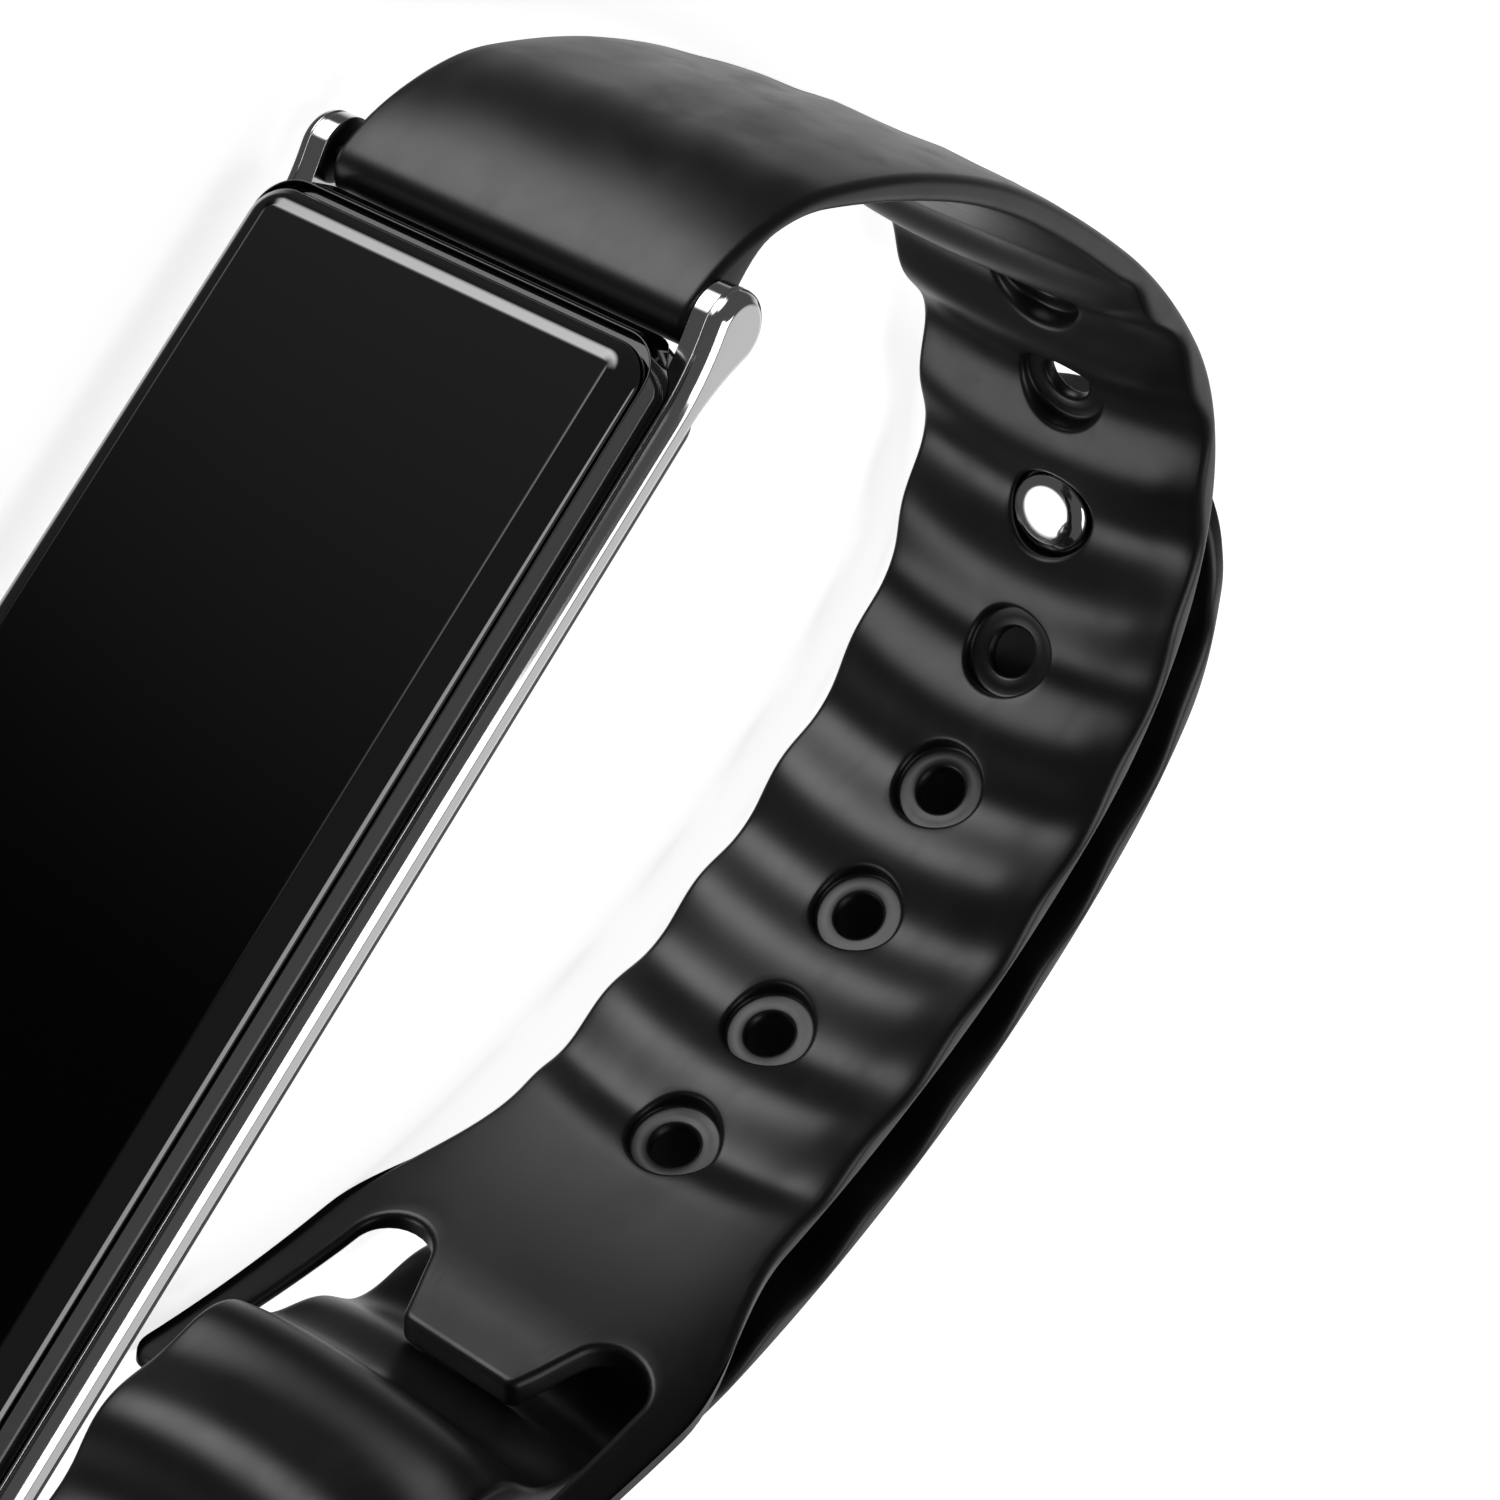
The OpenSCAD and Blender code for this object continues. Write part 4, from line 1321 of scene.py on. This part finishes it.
class Stud:
    """The mushroom stud of the tail, pressed into an adjustment hole."""

    def __init__(self, upper: BendLine, at: float) -> None:
        """Keeps the line and the hole's place on it."""
        self.upper = upper
        self.at = at

    def build(self) -> None:
        """Turns the stud's profile about the hole's axis: neck, flat underside, rounded head."""
        base = self.upper.bend(np.array([self.at]), np.array([0.0]), np.array([2.9]))[0]
        top = self.upper.bend(np.array([self.at]), np.array([0.0]), np.array([0.0]))[0]
        axis = (top - base) / np.linalg.norm(top - base)
        dome = [(1.5 * math.cos(a), 2.8 + 0.26 * math.sin(a)) for a in np.linspace(0.2, math.pi / 2, 12)]
        profile = [(0, 0), (0.9, 0.0), (0.75, 0.15), (0.75, 2.1), (0.8, 2.17), (1.55, 2.2), (1.72, 2.3),
                   (1.78, 2.45),
                   (1.78, 2.6), (1.72, 2.75),
                   (1.62, 2.83)] + [(r, h + 0.02) for r, h in dome[:-1]] + [(0, 3.08)]
        piece = lathe("stud_mushroom", base, axis, profile, 64)
        piece.data.set_sharp_from_angle(angle=math.radians(60))
        hand_over(piece, "tail", "polished_steel", ("stud_post",))


# ---------------------------------------------------------------- scene
@dataclass(frozen=True)
class Glow:
    """A soft patch of light in the surround: its centre, its inner and outer angle, and its brightness."""

    azimuth: float
    elevation: float
    inner: float
    outer: float
    power: float

    def centre(self) -> tuple[float, float, float]:
        """Unit vector towards the middle of the patch."""
        az, el = math.radians(self.azimuth), math.radians(self.elevation)
        return math.cos(el) * math.cos(az), math.cos(el) * math.sin(az), math.sin(el)


SURROUND = 0.07
GLOWS = (
    Glow(-122, -27, 3, 31, 4.6),
    Glow(-20, -25, 0, 25, 3.0),
    Glow(108, -27, 4, 58, 0.9),
    Glow(98, 30, 8, 34, 0.5),
)


class Studio:
    """Floor, lights and camera."""

    def floor(self) -> None:
        """A plain white floor under the band, left out of reflections so that the low glows show in them."""
        bpy.ops.mesh.primitive_plane_add(size=3.0, location=(0, 0, 0))
        plane = bpy.context.object
        plane.name = "floor"
        m = bpy.data.materials.new("floor_white")
        m.use_nodes = True
        shader = m.node_tree.nodes["Principled BSDF"]
        shader.inputs["Base Color"].default_value = (0.93, 0.93, 0.93, 1)
        shader.inputs["Roughness"].default_value = 0.9
        shader.inputs["Specular IOR Level"].default_value = 0.1
        shader.inputs["Emission Color"].default_value = (1, 1, 1, 1)
        shader.inputs["Emission Strength"].default_value = 0.8
        plane.data.materials.append(m)
        plane.visible_glossy = False

    def panel(self, name: str, place: Sequence[float], size: tuple[float, float], power: float,
              aim: Sequence[float] = (0.0, -0.008, 0.009)) -> None:
        """A soft rectangular light.

        Args:
            name: light name.
            place: its position, in metres.
            size: width and height.
            power: watts.
            aim: the point it faces.
        """
        data = bpy.data.lights.new(name, "AREA")
        data.shape = "RECTANGLE"
        data.size, data.size_y = size
        data.energy = power
        lamp = bpy.data.objects.new(name, data)
        lamp.location = place
        lamp.rotation_euler = (Vector(aim) - Vector(place)).to_track_quat("-Z", "Y").to_euler()
        bpy.context.scene.collection.objects.link(lamp)

    def world(self, level: float, glows: Sequence[Glow]) -> None:
        """A dim even surround with soft glows, each a smooth step of the angle to its centre.

        Args:
            level: brightness of the surround.
            glows: the patches of light.
        """
        world = bpy.data.worlds.new("surround")
        world.use_nodes = True
        n, link = world.node_tree.nodes, world.node_tree.links
        place = n.new("ShaderNodeTexCoord")
        total = n.new("ShaderNodeValue")
        total.outputs[0].default_value = level
        level_out = total.outputs[0]
        for glow in glows:
            dot = n.new("ShaderNodeVectorMath")
            dot.operation = "DOT_PRODUCT"
            dot.inputs[1].default_value = glow.centre()
            link.new(place.outputs["Generated"], dot.inputs[0])
            step = n.new("ShaderNodeMapRange")
            step.interpolation_type = "SMOOTHSTEP"
            step.inputs["From Min"].default_value = math.cos(math.radians(glow.outer))
            step.inputs["From Max"].default_value = math.cos(math.radians(glow.inner))
            step.inputs["To Max"].default_value = glow.power
            link.new(dot.outputs["Value"], step.inputs["Value"])
            add = n.new("ShaderNodeMath")
            link.new(level_out, add.inputs[0])
            link.new(step.outputs["Result"], add.inputs[1])
            level_out = add.outputs[0]
        link.new(level_out, n["Background"].inputs["Color"])
        bpy.context.scene.world = world

    def camera(self) -> None:
        """The camera, from its eye point and its right, up and back axes."""
        data = bpy.data.cameras.new("camera")
        data.lens = 83.335
        data.sensor_width = 36.0
        data.clip_start, data.clip_end = 0.01, 10.0
        eye = bpy.data.objects.new("camera", data)
        right, up = (-0.51222, 0.33561, 0.79057), (-0.85027, -0.32801, -0.41165)
        back = (0.12115, -0.88305, 0.45337)
        place = (0.002906, -0.112973, 0.070323)
        eye.matrix_world = Matrix([[right[k], up[k], back[k], place[k]] for k in range(3)] + [[0, 0, 0, 1]])
        bpy.context.scene.collection.objects.link(eye)
        bpy.context.scene.camera = eye

    def build(self) -> None:
        """Sets the stage."""
        self.camera()
        self.floor()
        self.world(SURROUND, GLOWS)
        self.panel("key_above", (0.06, 0.02, 0.5), (0.4, 0.4), 1.0)
        scene = bpy.context.scene
        scene.view_settings.view_transform = "Standard"
        scene.view_settings.look = "None"


def dress_nodes() -> None:
    """Gives every CAD node its finish, by the material slot that the record names for it."""
    slots = {part["node"]: part["material_slot"] for part in frame["record"]["subparts"]}
    for name, piece in frame["nodes"].items():
        finish = SLOT_FINISHES[slots[name]]
        for spot in piece.material_slots:
            spot.material = finish.material()
        if not piece.material_slots:
            piece.data.materials.append(finish.material())


def main() -> None:
    """Builds the band's looks in order and hands them over."""
    logging.basicConfig(level=logging.INFO, format="%(name)s: %(message)s")
    studio = Studio()
    studio.build()
    dress_nodes()
    shape = StrapShape()
    upper = UpperStrap(shape)
    upper.build()
    lower = LowerStrap(shape, upper.line)
    lower.build(PEEL_FROM_SLOT)
    Module(ModulePlan()).build()
    Stud(upper.line, shape.plan.stud_at).build()


if __name__ == "__main__":
    main()
